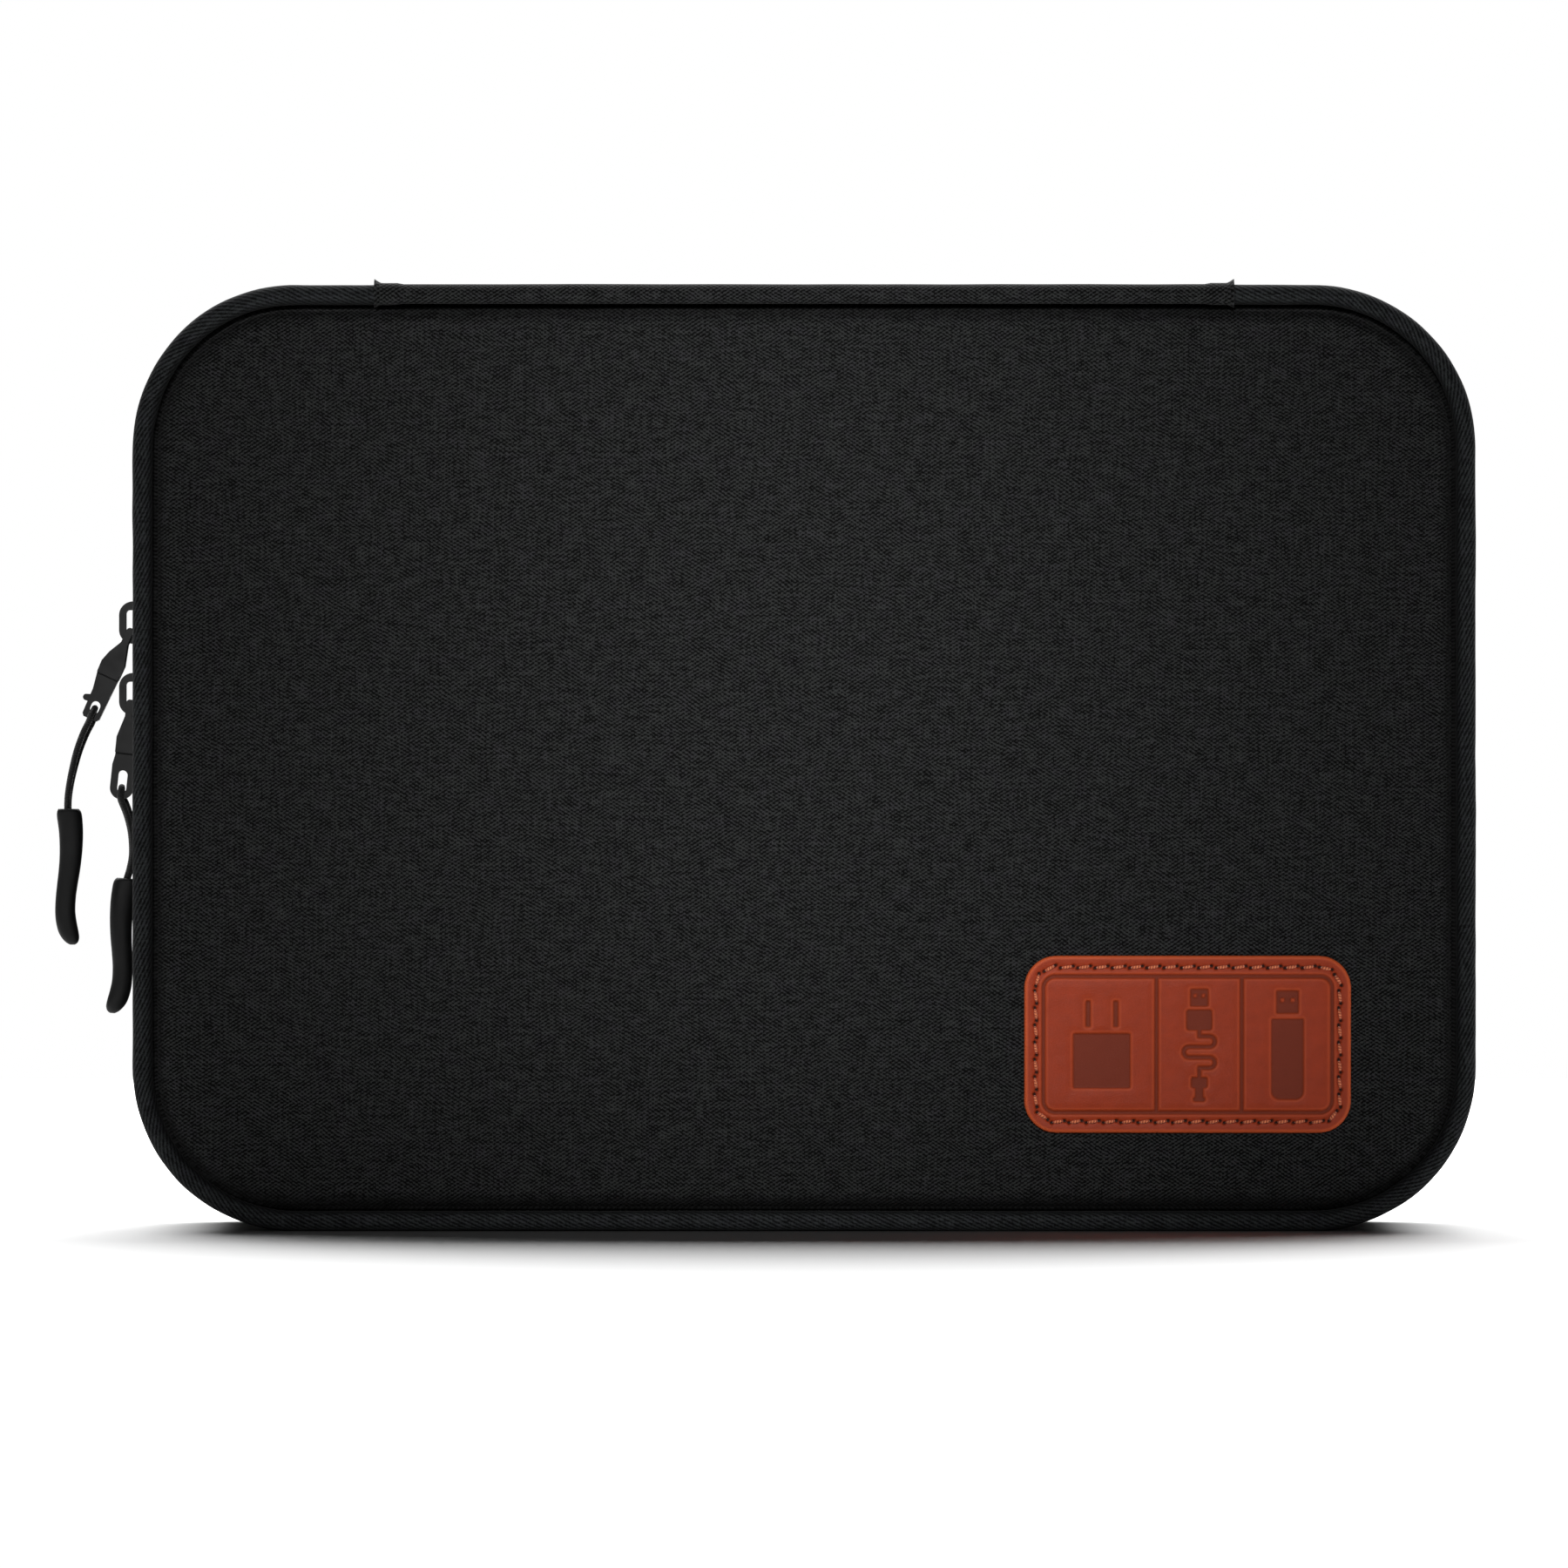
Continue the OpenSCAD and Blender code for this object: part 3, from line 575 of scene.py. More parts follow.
def braided(name, value):
    """Round braided cord."""
    f = Finish(name, {"Roughness": 0.6, "Specular IOR Level": 0.35, "Sheen Weight": 0.15})
    along, across = f.split(f.cloth())
    along, across = f.times(along, BRAID_ALONG), f.times(across, BRAID_ROUND)
    weave = f.times(f.calc("SINE", f.plus(along, across)), f.calc("SINE", f.minus(along, across)))
    colour = f.mix(f.ease(weave, -1.0, 1.0), grey(value * 0.5), grey(value * 1.6))
    return f.finish(colour, f.bump(weave, 0.06, 0.8))


finishes = {
    "shell": woven("shell_weave", 0.6, 0.0004, 0.0230, (0.995, 1.01, 1.01)),
    "gusset": woven("gusset_weave", 0.58, 0.0015, 0.017, COOL, flecks=0.6),
    # The bias tape gets painted shade on the piping's flanks, away from the roll's front crest.
    "bias": woven("bias_tape", 0.7, 0.002, 0.027, COOL, broken=0.1, flecks=0.8, ribs=0.4, skew=0.1,
                  relief=0.05, lit_crest=ROLL_R * math.pi / 2 + 0.3),
    "lining": woven("lining_weave", 0.5, 0.045, 0.105, (1.02, 1.0, 1.0), flecks=0.4, relief=0.03),
    "tape": banded("zip_tape_ribs", 0.55, 0.008, COOL, 0.62),
    "binding": banded("binding_ribs", 0.7, 0.008, COOL, 1.57),
    "elastic": banded("elastic_ribs", 1.1, 0.009, (1, 1, 1), 0.0, relief=0.12),
    "mesh": banded("mesh_yarn", 0.4, 0.010, (1, 1, 1), 0.5, relief=0.03),
    "coil": moulded("coil_nylon", 0.008, 0.6, 0.15, 9.0),
    "metal": moulded("black_metal", 0.003, 0.36, 0.3, 5.0),
    "rubber": moulded("grip_rubber", 0.003, 0.6, 0.22, 7.0, relief=0.02),
    "leather": leather("terracotta_leather"),
    "patch_thread": thread("terracotta_thread", (0.28, 0.045, 0.016, 1), (0.66, 0.19, 0.075, 1)),
    "black_thread": thread("black_thread", grey(0.010), grey(0.045)),
    "cord": braided("cord_braid", 0.004),
}


def dress(piece, finish, body=None, replaces=()):
    """Gives a piece its material and its body, and hides the CAD nodes that it stands for."""
    piece.data.materials.clear()
    piece.data.materials.append(finishes[finish])
    if body:
        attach(piece, body)
    if replaces:
        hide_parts(*replaces)
    return piece


# ---------------------------------------------------------------- pull cords and grips

# The cord passes round the end of the tab's eye, this far down from the slider's crossbar.
BIGHT_DOWN = 15.7
BIGHT_R = 1.9
CROSSBAR_X = -125.2
CORD_R = 0.6
# Each pull's crossbar, the tab's lean in degrees, the mouth of the grip and how the grip bows and
# tilts. Then the middle of the two strands on their way down, and half the distance between them.
UPPER_PULL = {
    "crossbar_z": 110.55, "lean": 25, "mouth": (-136.4, -4.4, 77.6), "bow": 1, "tilt": 0.0,
    "strand": [(-132.6, 0, 93.9, 1.9), (-133.7, -0.4, 91.6, 1.8), (-134.8, -1.1, 88.6, 1.5),
               (-135.6, -2.1, 85.4, 1.15), (-136.2, -3.1, 82.2, 0.85), (-136.5, -3.9, 79.5, 0.68),
               (-136.5, -4.4, 77, 0.64), (-136.4, -4.4, 74.8, 0.64), (-136.3, -4.4, 72.6, 0.64)],
}
LOWER_PULL = {
    "crossbar_z": 97.25, "lean": 6, "mouth": (-126.1, 2.6, 64.6), "bow": -1, "tilt": 4.5,
    "strand": [(-126.6, 0.1, 79, 1.9), (-125.7, 0.4, 76.6, 1.75), (-125.1, 0.9, 74, 1.45),
               (-124.9, 1.5, 71.4, 1.1), (-125, 2.1, 68.8, 0.8), (-125.5, 2.5, 66.4, 0.66),
               (-126.2, 2.6, 64, 0.64), (-126.4, 2.6, 61.8, 0.64), (-126.5, 2.6, 59.6, 0.64)],
}
# The direction from one strand to the other, left to right and front to back.
SPREAD = (0.12, 0.99)
# How far each ring sits down a grip, how far it bows sideways, and its share of the full width.
GRIP_RINGS = [(0, 0, 0.8), (0.5, 0.1, 0.94), (1.5, 0.2, 1), (4, 0.45, 0.96), (6.5, 0.5, 0.92),
              (9, 0.4, 0.88), (11.5, 0.15, 0.85), (14, -0.2, 0.82), (16.5, -0.5, 0.8),
              (19, -0.6, 0.8), (21, -0.4, 0.82), (22.8, 0, 0.8), (24, 0.4, 0.68),
              (24.8, 0.65, 0.46), (25.2, 0.75, 0.2)]


def loop_path(pull):
    """Up one strand, through the tab's eye, and down the other."""
    lean = math.radians(pull["lean"])
    across, back = SPREAD
    path = [(x + across * half, y + back * half, z) for x, y, z, half in reversed(pull["strand"])]
    for angle in np.radians(np.arange(85, -86, -17)):
        down = BIGHT_DOWN + BIGHT_R * (1 - math.cos(angle))
        path.append((CROSSBAR_X - down * math.sin(lean), BIGHT_R * math.sin(angle),
                     pull["crossbar_z"] - down * math.cos(lean)))
    path += [(x - across * half, y - back * half, z) for x, y, z, half in pull["strand"]]
    return smooth_path(path, 0.22)


def pull_cord(name, pull, body):
    """A limp braided loop from the grip through the tab's eye and back."""
    path = loop_path(pull)
    angle = around(12)
    along = length_along(path)
    down, round_it = BRAID_ALONG * along[:, None], BRAID_ROUND * angle
    braid = np.sin(down + round_it) * np.sin(down - round_it)
    rings = tube_rings(path, CORD_R, len(angle))
    rings = path[:, None] + (rings - path[:, None]) * (0.97 + 0.05 * braid)[:, :, None]
    cord = loft(name, rings, cloth_map(along, angle))
    dress(cord, "cord", body, [body.replace("grip", "cord")])


def pull_grip(name, pull, body):
    """An S-curved rubber grip, soft edged, with a bore for the cord's two strands."""
    down, bowed, share = smooth_path(GRIP_RINGS, 0.35).T
    half_w, half_t, squareness = 2.328, 2.037, 2.6
    angle = around(32)
    cos, sin = np.cos(angle), np.sin(angle)
    squared = (np.abs(cos) ** squareness + np.abs(sin) ** squareness) ** (-1 / squareness)
    x = pull["bow"] * bowed[:, None] + half_w * share[:, None] * (cos * squared)
    y = half_t * np.minimum(1, share * 1.08)[:, None] * (sin * squared)
    z = -np.repeat(down[:, None], len(angle), 1)
    bore = [np.stack([pull["bow"] * 0.2 + radius * cos, radius * sin, 0 * angle - depth], -1)
            for depth, radius in [(5.0, 1.4), (0.25, 1.42), (0.0, 1.6)]]
    rings = np.concatenate([np.array(bore), np.stack([x, y, z], -1)])
    tilt = Matrix.Rotation(math.radians(pull["tilt"]), 3, "Y")
    rings = rings @ np.array(tilt).T + np.array(pull["mouth"])
    dress(loft(name, rings), "rubber", body, [body])


# ---------------------------------------------------------------- padded covers

class Cover:
    """The shape of a padded cover: a shoulder that rises out of the seam, and a low crown."""

    def __init__(self, seed):
        self.seed = seed
        self.half_w = HALF_W - PANEL_IN
        self.half_h = MID_Z - PANEL_IN
        self.corner = CORNER - PANEL_IN
        self.columns = np.linspace(-self.half_w, self.half_w, 49)
        self.rows = np.linspace(-self.half_h, self.half_h, 35)
        self.table = self.rise()

    def rise(self):
        """Height of the crown as a share of its most, from a sheet pinned at its rim and blown up."""
        x, z = rounded_grid(self.half_w, self.half_h, self.corner, self.columns, self.rows)
        rows, columns = x.shape
        points = np.stack([x, np.zeros(x.shape), z], -1).reshape(-1, 3)
        sheet = make_mesh("crown_sheet", points, grid_faces(rows, columns), closed=False)
        pins = sheet.vertex_groups.new(name="rim")
        pins.add(rim(rows, columns), 1.0, "REPLACE")
        cloth = sheet.modifiers.new("cloth", "CLOTH")
        settings = cloth.settings
        settings.vertex_group_mass = "rim"
        settings.mass = 0.3
        settings.tension_stiffness = 25
        settings.bending_stiffness = 4
        settings.shrink_min = -0.012
        settings.use_pressure = True
        settings.uniform_pressure_force = 3.0
        settings.effector_weights.gravity = 0
        for number in range(1, 21):
            bpy.context.scene.frame_set(number)
        shaped = sheet.evaluated_get(bpy.context.evaluated_depsgraph_get())
        heights = np.array([v.co.y for v in shaped.data.vertices]).reshape(rows, columns)
        bpy.context.scene.frame_set(1)
        bpy.data.objects.remove(sheet)
        heights = np.abs(heights)
        return np.clip(heights / max(heights.max(), 1e-9), 0, 1)

    def depth(self, x, z):
        """Depth of the cover's outer face at places measured from the middle of the pouch."""
        inside = -rounded_distance(x, z, self.half_w, self.half_h, self.corner)
        reach = half_width_at(z, self.half_w, self.half_h, self.corner)
        rise = lookup(self.table, self.rows, self.columns, z, x / reach * self.half_w)
        shoulder_wide, shoulder_high, rim_sunk = 3.4, 4.0, 4.2
        t = np.clip(inside / shoulder_wide, 0, 1)
        shoulder = 1 - (1 - t) ** 2.4
        puckers = noise_field(x, z, 6.5, self.seed) * np.exp(-np.maximum(inside - 0.6, 0) / 3.2)
        drift = noise_field(x, z, 38, self.seed + 5) * smooth(2, 20, inside)
        base = FACE - rim_sunk + shoulder_high * shoulder
        return base + CROWN * rise + 0.28 * puckers * t + 0.22 * drift


def cover_panel(name, side, cover, body, nodes):
    """One padded cover: crowned, with a rounded shoulder at the seam."""
    columns = spaced(cover.half_w, fine=0.42, coarse=1.9, band=5)
    rows = spaced(cover.half_h, fine=0.42, coarse=1.9, band=5)
    x, z = rounded_grid(cover.half_w, cover.half_h, cover.corner, columns, rows)
    outer = cover.depth(x, z)
    inner = np.full(x.shape, LINING_BACK + 0.05)
    panel = slab(name, side, x, z + MID_Z, outer, inner, inner_scale=1.01)
    dress(panel, "shell", body, nodes)


# ---------------------------------------------------------------- piping, gusset and zip

def piping(name, side, body, nodes):
    """The corded edge roll, not quite even where the bias tape is pulled round it."""
    seed = 3.1 + side
    middle = np.array([ROLL_R, ROLL_DEPTH])
    profile = middle + ROLL_R * np.stack([np.cos(around(20)), np.sin(around(20))], -1)

    def uneven(inset, depth, along, edge):
        pull = 1 + 0.035 * wave(along, 5.0, seed)[:, None] + 0.02 * wave(along, 17.0, seed + 2)[:, None]
        drift = 0.12 * wave(along, 23.0, seed + 4)[:, None]
        return middle[0] + (inset - middle[0]) * pull + drift, middle[1] + (depth - middle[1]) * pull

    made = ring_solid(name, side, PIPING_GAP, profile, 1.3, uneven)
    dress(made, "bias", body, nodes)


def swelling(along, edge, depth):
    """How far the gusset swells out at a depth, and that depth's share of the whole swelling.

    It swells most at the left, about the sliders' height.
    """
    x, z = edge.T
    left = smooth(CORNER_X, HALF_W, -x) * smooth(34, 62, z) * smooth(126, 104, z)
    fold, seam = 8.6, 16.0
    share = np.sin(np.clip((depth - fold) / (seam - fold), 0, 1) * math.pi) ** 0.8
    return (0.15 * wave(along, 21.0, 8.4) + 0.8 * left)[:, None] * share, share


def gusset(name, side, body, nodes):
    """The side band from under the piping to the fold beside the zip."""
    profile = [(2.6, 15.75), (1.3, 15.75), (0.75, 15.1), (0.55, 14.0), (0.5, 12.6), (0.55, 11.2),
               (0.7, 9.9), (0.75, 9.3), (1.0, 9.05), (1.28, 9.3), (1.28, 10.5), (1.25, 12.0),
               (1.25, 13.5), (1.35, 14.6), (2.6, 14.9)]

    def swell(inset, depth, along, edge):
        push, share = swelling(along, edge, depth)
        ripple = 0.12 * wave(along, 7.5, 2.2)[:, None] * share
        return inset - push - ripple, depth

    made = ring_solid(name, side, SPINE_HALF - 0.4, profile, 1.6, swell)
    dress(made, "gusset", body, nodes)


def zip_tape(name, side, body, nodes):
    """The woven tape between the gusset's fold and the teeth."""
    profile = [(1.38, 2.0), (1.36, 4.0), (1.3, 6.0), (1.32, 8.0), (1.36, 11.5), (1.9, 11.5),
               (1.9, 8.0), (1.88, 6.0), (1.9, 4.0), (1.9, 2.0)]
    made = ring_solid(name, side, ZIP_GAP, profile, 2.0)
    dress(made, "tape", body, nodes)


def zip_coil(name, side, body, nodes):
    """A zip's coil round the outline. The two halves' turns fall between each other."""
    pitch, turn_points, wire_r = 1.35, 9, 0.3
    middle_inset, half_wide = 1.6, 0.85
    middle_depth, half_deep = 1.35, 1.3
    centres, normals, along = walk(ZIP_GAP, pitch / turn_points)
    phase = 2 * math.pi * along / pitch + (math.pi if side > 0 else 0)
    inset = middle_inset + half_wide * np.cos(phase)
    depth = middle_depth - half_deep * np.sin(phase)
    path = place(centres, normals, inset[:, None], depth[:, None], side)[:, 0]
    dress(loft(name, tube_rings(path, wire_r, 6)), "coil", body, nodes)


def stitch_row(name, paths, radius, sides):
    """Sewing stitches, each a short tube along its own path, thinner at the ends."""
    points, faces, cloth = [], [], []
    for path in paths:
        faces += tube_faces(len(path), sides, start=sum(map(len, points)))
        points.append(tube_rings(path, radius * arch(len(path), 0.12) ** 0.5, sides).reshape(-1, 3))
        cloth.append(cloth_map(length_along(path), around(sides)).reshape(-1, 3))
    return make_mesh(name, np.vstack(points), faces, {"cloth": np.vstack(cloth)})


def gusset_stitching(name, side, body):
    """A row of stitches along the gusset's fold beside the zip."""
    pitch, half_stitch, thread_r = 3.0, 1.15, 0.22
    seam_inset, seam_depth = 0.55, 10.4
    centres, normals, along = walk(SPINE_HALF, 0.5)
    depth = np.full((len(along), 1), seam_depth)
    push, _ = swelling(along, centres + normals * CORNER, depth)
    line = place(centres, normals, seam_inset - push, depth, side)[:, 0]
    outward = np.stack([normals[:, 0], np.zeros(len(along)), normals[:, 1]], -1)
    lift = 0.16 * arch(5)[:, None] - 0.06
    paths = []
    for number in range(int(along[-1] / pitch) - 1):
        at = (number + 0.5) * pitch + np.linspace(-half_stitch, half_stitch, len(lift))
        paths.append(read_off(at, along, line) + read_off(at, along, outward) * lift)
    dress(stitch_row(name, paths, thread_r, 5), "black_thread", body)


# ---------------------------------------------------------------- spine

ROLL_TOP = TOP - ROLL_R


def spine_line(offset):
    """Half the spine's cross section from the front seam over the roll to the middle, as (y, z)."""
    points = []
    # How far the spine's cloth lies outside the piping that it covers.
    lap = 0.12
    radius = ROLL_R + lap - offset
    for a in np.radians(np.linspace(-60, 90, 14)):
        points.append((-ROLL_DEPTH - radius * math.cos(a), ROLL_TOP + radius * math.sin(a)))
    for y, sink in [(-16.6, 0.12), (-15.6, 0.5), (-14.8, 0.6), (-14.0, 0.42), (-12.6, 0.18),
                    (-10.5, 0.05), (-8, 0.0), (-5, 0.02), (-3.4, 0.06), (-2.2, 0.1), (-1.1, 0.13)]:
        points.append((y, TOP + lap - sink - offset))
    return points


def mirrored(points):
    """A half section with its mirror image added past the middle."""
    middle = [(0.0, points[-1][1] - 0.02)]
    return np.array(points + middle + [(-y, z) for y, z in reversed(points)])


def spine_cover():
    """The fabric spine with its two rolls, folded and slightly flared at both ends."""
    outer = mirrored(spine_line(0.0))
    section = np.vstack([outer, mirrored(spine_line(0.6))[::-1]])
    rolls = np.stack([np.copysign(ROLL_DEPTH, section[:, 0]), np.full(len(section), ROLL_TOP)], -1)
    over_roll = np.abs(section[:, :1]) > ROLL_DEPTH
    outward = np.where(over_roll, section - rolls, [0.0, 1.0])
    outward /= np.linalg.norm(outward, axis=1)[:, None]
    ends = SPINE_HALF - np.array([0, 0.15, 0.4, 0.8, 1.2, 1.7, 2.3, 3.2, 4.2, 4.8, 5.4, 6.6])
    plain_half, step = 70, 2.5
    stations = np.concatenate([-ends, np.arange(-plain_half, plain_half + 1, step), ends[::-1]])
    rings = []
    for x in stations:
        # The very end turns outwards, and the strip behind it is double where the cloth is folded.
        from_end = SPINE_HALF - abs(x)
        flare = 0.75 * max(0.0, 1 - from_end / 1.3) ** 1.2 + 0.22 * smooth(5.4, 4.2, from_end)
        flare += 0.05 * noise.noise(Vector((x / 9, 4.4, 0)))
        rings.append(np.insert(section + outward * flare, 0, x, axis=1))
    across = length_along(outer)
    across = np.concatenate([across, across[::-1]])
    made = loft("spine_cover", np.array(rings), cloth_map(stations, across))
    dress(made, "shell", None, ["front_spine_fabric", "back_spine_fabric",
                                              "front_spine_foam", "back_spine_foam"])
    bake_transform(made)


def spine_lining():
    """The inside of the spine: lining that bridges the two halves."""
    half = SPINE_HALF - 3
    back, fold = np.arange(6.2, 15, 1.4), np.linspace(-4.6, 4.6, 13)
    depth = np.concatenate([np.arange(-14.6, -5, 1.4), fold, back])
    under, over = TOP - 2.5, TOP - 1.9
    rings = []
    for x in np.linspace(-half, half, 70):
        puff = 0.12 * noise.noise(Vector((x / 14, 7.7, 0)))
        rings.append([(x, y, under - puff) for y in depth] + [(x, y, over) for y in depth[::-1]])
    rings = np.array(rings)
    cloth = np.stack([rings[:, :, 0], rings[:, :, 1], rings[:, :, 1] * 0], -1)
    made = loft("spine_lining", rings, cloth)
    dress(made, "lining", None, ["front_spine_lining", "back_spine_lining"])
    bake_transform(made)


# ---------------------------------------------------------------- leather patch

PATCH_LOW, PATCH_HIGH = span("leather_patch")
PATCH_X = (PATCH_LOW[0] + PATCH_HIGH[0]) / 2
PATCH_Z = (PATCH_LOW[2] + PATCH_HIGH[2]) / 2
PATCH_W = (PATCH_HIGH[0] - PATCH_LOW[0]) / 2
PATCH_H = (PATCH_HIGH[2] - PATCH_LOW[2]) / 2
PATCH_T = PATCH_HIGH[1] - PATCH_LOW[1]
PATCH_R = 6.0
STITCH_IN = 2.1
STITCH_COUNT = 51


def box_at(x, z, cx, cz, w, h, corner=0.05):
    """Distance outside a rectangle of a given middle, width and height."""
    return rounded_distance(x - cx, z - cz, w / 2, h / 2, corner)


def line_distance(x, z, points):
    """Distance to a chain of straight lines."""
    best = np.full(x.shape, 1e9)
    for (ax, az), (bx, bz) in zip(points, points[1:]):
        dx, dz = bx - ax, bz - az
        t = np.clip(((x - ax) * dx + (z - az) * dz) / (dx * dx + dz * dz), 0, 1)
        best = np.minimum(best, np.hypot(x - ax - t * dx, z - az - t * dz))
    return best


def winding(top, bottom, half, rows):
    """A cord's line that winds from side to side between two heights."""
    points = [(0, top + 1.3), (0, top)]
    pitch = (top - bottom) / rows
    for row in range(rows):
        turn = 1 if row % 2 == 0 else -1
        middle = top - (row + 0.5) * pitch
        for a in np.radians(np.linspace(90, -90, 9)):
            points.append((turn * (half + pitch / 2 * math.cos(a)), middle + pitch / 2 * math.sin(a)))
    points += [(0, bottom), (0, bottom - 1.4)]
    return points


def charger_shape(x, z):
    """A wall charger with two pins."""
    shape = box_at(x, z, -15.8, -3.0, 10.5, 10.1, 0.3)
    for px in (-18.3, -13.2):
        shape = np.minimum(shape, box_at(x, z, px, 5.6, 0.9, 4.8, 0.2))
    return shape


def plug_shape(x, z, cx, cz, w, h, window, apart):
    """A metal plug end with two windows left standing."""
    shape = box_at(x, z, cx, cz, w, h, 0.25)
    for side in (-1, 1):
        shape = np.maximum(shape, -box_at(x, z, cx + side * apart, cz + 0.35, window, window, 0.1))
    return shape


def cable_shape(x, z):
    """A cable that winds down from its large plug to its small one."""
    cx, cord_r = 2.1, 0.36
    shape = plug_shape(x, z, cx, 8.6, 3.3, 3.2, 0.6, 0.75)
    shape = np.minimum(shape, line_distance(x - cx, z, winding(1.5, -4.3, 1.9, 3)) - cord_r)
    for cz, w, h, corner in ((4.5, 4.7, 3.8, 0.5), (-7.0, 3.0, 2.0, 0.4), (-8.9, 1.5, 2.2, 0.2),
                             (-10.1, 2.2, 0.8, 0.3)):
        shape = np.minimum(shape, box_at(x, z, cx, cz, w, h, corner))
    return shape


def stick_shape(x, z):
    """A memory stick."""
    cx = 18.3
    shape = plug_shape(x, z, cx, 7.8, 4.1, 4.2, 0.7, 0.95)
    body = np.minimum(box_at(x, z, cx, -2.7, 5.9, 14.8, 1.5), box_at(x, z, cx, 1.7, 5.9, 6.0, 0.2))
    return np.minimum(shape, body)


def pressed_shape(x, z):
    """Distance outside the pressed marks: a frame, two dividers and three plain pictograms."""
    line = 0.34
    shape = np.abs(rounded_distance(x, z, 26.5, 12.5, 2.2)) - line
    for cx in (-5.75, 9.9):
        shape = np.minimum(shape, box_at(x, z, cx, 0, 2 * line, 25))
    for mark in (charger_shape, cable_shape, stick_shape):
        shape = np.minimum(shape, mark(x, z))
    return shape


def corner_walk(half_w, half_h, count):
    """Centres and outward directions round four quarter circles, "count" points to each."""
    centres, normals = [], []
    for cx, cz, start in [(1, 1, 0), (-1, 1, 90), (-1, -1, 180), (1, -1, 270)]:
        for angle in np.radians(np.linspace(start, start + 90, count)):
            centres.append((cx * half_w, cz * half_h))
            normals.append((math.cos(angle), math.sin(angle)))
    return np.array(centres), np.array(normals)


def patch_seam():
    """Middle of each stitch round the patch, and its direction along the edge."""
    centres, normals = corner_walk(PATCH_W - PATCH_R, PATCH_H - PATCH_R, 16)
    path = centres + normals * (PATCH_R - STITCH_IN)
    path = np.vstack([path, path[:1]])
    along = length_along(path)
    at = (np.arange(STITCH_COUNT) + 0.5) * along[-1] / STITCH_COUNT
    ahead, behind = (read_off((at + step) % along[-1], along, path) for step in (0.3, -0.3))
    way = ahead - behind
    return read_off(at, along, path), way / np.linalg.norm(way, axis=1)[:, None]


def stitch_ends(spot, way, half):
    """Both ends of a slanted stitch."""
    slant = math.radians(9)
    turned = np.array([way[0] * math.cos(slant) - way[1] * math.sin(slant),
                       way[0] * math.sin(slant) + way[1] * math.cos(slant)])
    return spot - turned * half, spot + turned * half


def patch_top(cover, x, z):
    """Depth of the patch's plain face, which follows the crown of the cover."""
    return cover.depth(x + PATCH_X, z + PATCH_Z - MID_Z) + PATCH_T - 0.35


def leather_patch(cover):
    """The leather patch with its marks pressed in and its stitch holes."""
    columns = spaced(PATCH_W, fine=0.16, coarse=0.21, band=0.8)
    rows = spaced(PATCH_H, fine=0.16, coarse=0.21, band=0.8)
    x, z = rounded_grid(PATCH_W, PATCH_H, PATCH_R, columns, rows)
    inside = -rounded_distance(x, z, PATCH_W, PATCH_H, PATCH_R)
    mark = pressed_shape(x, z)
    press = smooth(0.14, -0.14, mark)
    hole = np.zeros(x.shape)
    for spot, way in zip(*patch_seam()):
        for end in stitch_ends(spot, way, 1.2):
            hole = np.maximum(hole, smooth(0.4, 0.24, np.hypot(x - end[0], z - end[1])))
    round_r, press_deep, hole_deep = 0.6, 0.34, 0.45
    edge = np.clip(round_r - inside, 0, round_r)
    rounding = round_r - np.sqrt(np.maximum(round_r**2 - edge**2, 0))
    groove = 0.16 * np.exp(-(((inside - STITCH_IN) / 0.6) ** 2))
    cushion = 0.12 * smooth(0.0, 1.6, mark) * smooth(2.6, 4.0, inside)
    outer = patch_top(cover, x, z) - press_deep * press - hole_deep * hole - rounding - groove + cushion
    outer += 0.05 * noise_field(x, z, 2.3, 1.9)
    inner = patch_top(cover, x, z) - PATCH_T - 0.15
    # Painted highlight: lighter along the patch's rim and in a thin line just outside the pressed marks.
    lit_edges = smooth(0.9, 0.25, inside) + 0.3 * smooth(0.4, 0.1, np.abs(mark - 0.25)) * (1 - press)
    layers = {"press": press, "hole": hole, "lit_edges": np.clip(lit_edges, 0, 1)}
    patch = slab("leather_patch_pressed", -1, x + PATCH_X, z + PATCH_Z, outer, inner, layers)
    dress(patch, "leather", "front_cover", ["leather_patch"])


def patch_stitching(cover):
    """The stitches round the patch, which dip into their holes at both ends."""
    paths = []
    for spot, way in zip(*patch_seam()):
        a, b = stitch_ends(spot, way, 0.85)
        share = np.linspace(0, 1, 9)
        flat = a[None, :] + (b - a)[None, :] * share[:, None]
        top = patch_top(cover, flat[:, 0], flat[:, 1])
        rise = 0.42 * arch(len(share)) ** 0.6 - 0.32
        paths.append(np.stack([flat[:, 0] + PATCH_X, -(top + rise), flat[:, 1] + PATCH_Z], -1))
    made = stitch_row("patch_thread", paths, 0.31, 8)
    dress(made, "patch_thread", "front_cover", ["patch_stitching"])


# ---------------------------------------------------------------- inside

def lining(name, side, body, node):
    """The lining sheet on the inside of a cover, soft over the foam."""
    inset = 1.5
    half_w, half_h, corner = HALF_W - inset, MID_Z - inset, CORNER - inset
    columns = spaced(half_w, fine=1.2, coarse=3.5, band=4)
    rows = spaced(half_h, fine=1.2, coarse=3.5, band=4)
    x, z = rounded_grid(half_w, half_h, corner, columns, rows)
    puff = 0.16 * noise_field(x, z, 16, 3 + side) + 0.1 * noise_field(x, z, 6, 9 + side)
    inner = LINING_DEPTH + np.maximum(puff, 0) * -0.6 + 0.05
    outer = np.full(x.shape, LINING_BACK)
    made = slab(name, side, x, z + MID_Z, inner, outer)
    dress(made, "lining", body, [node])


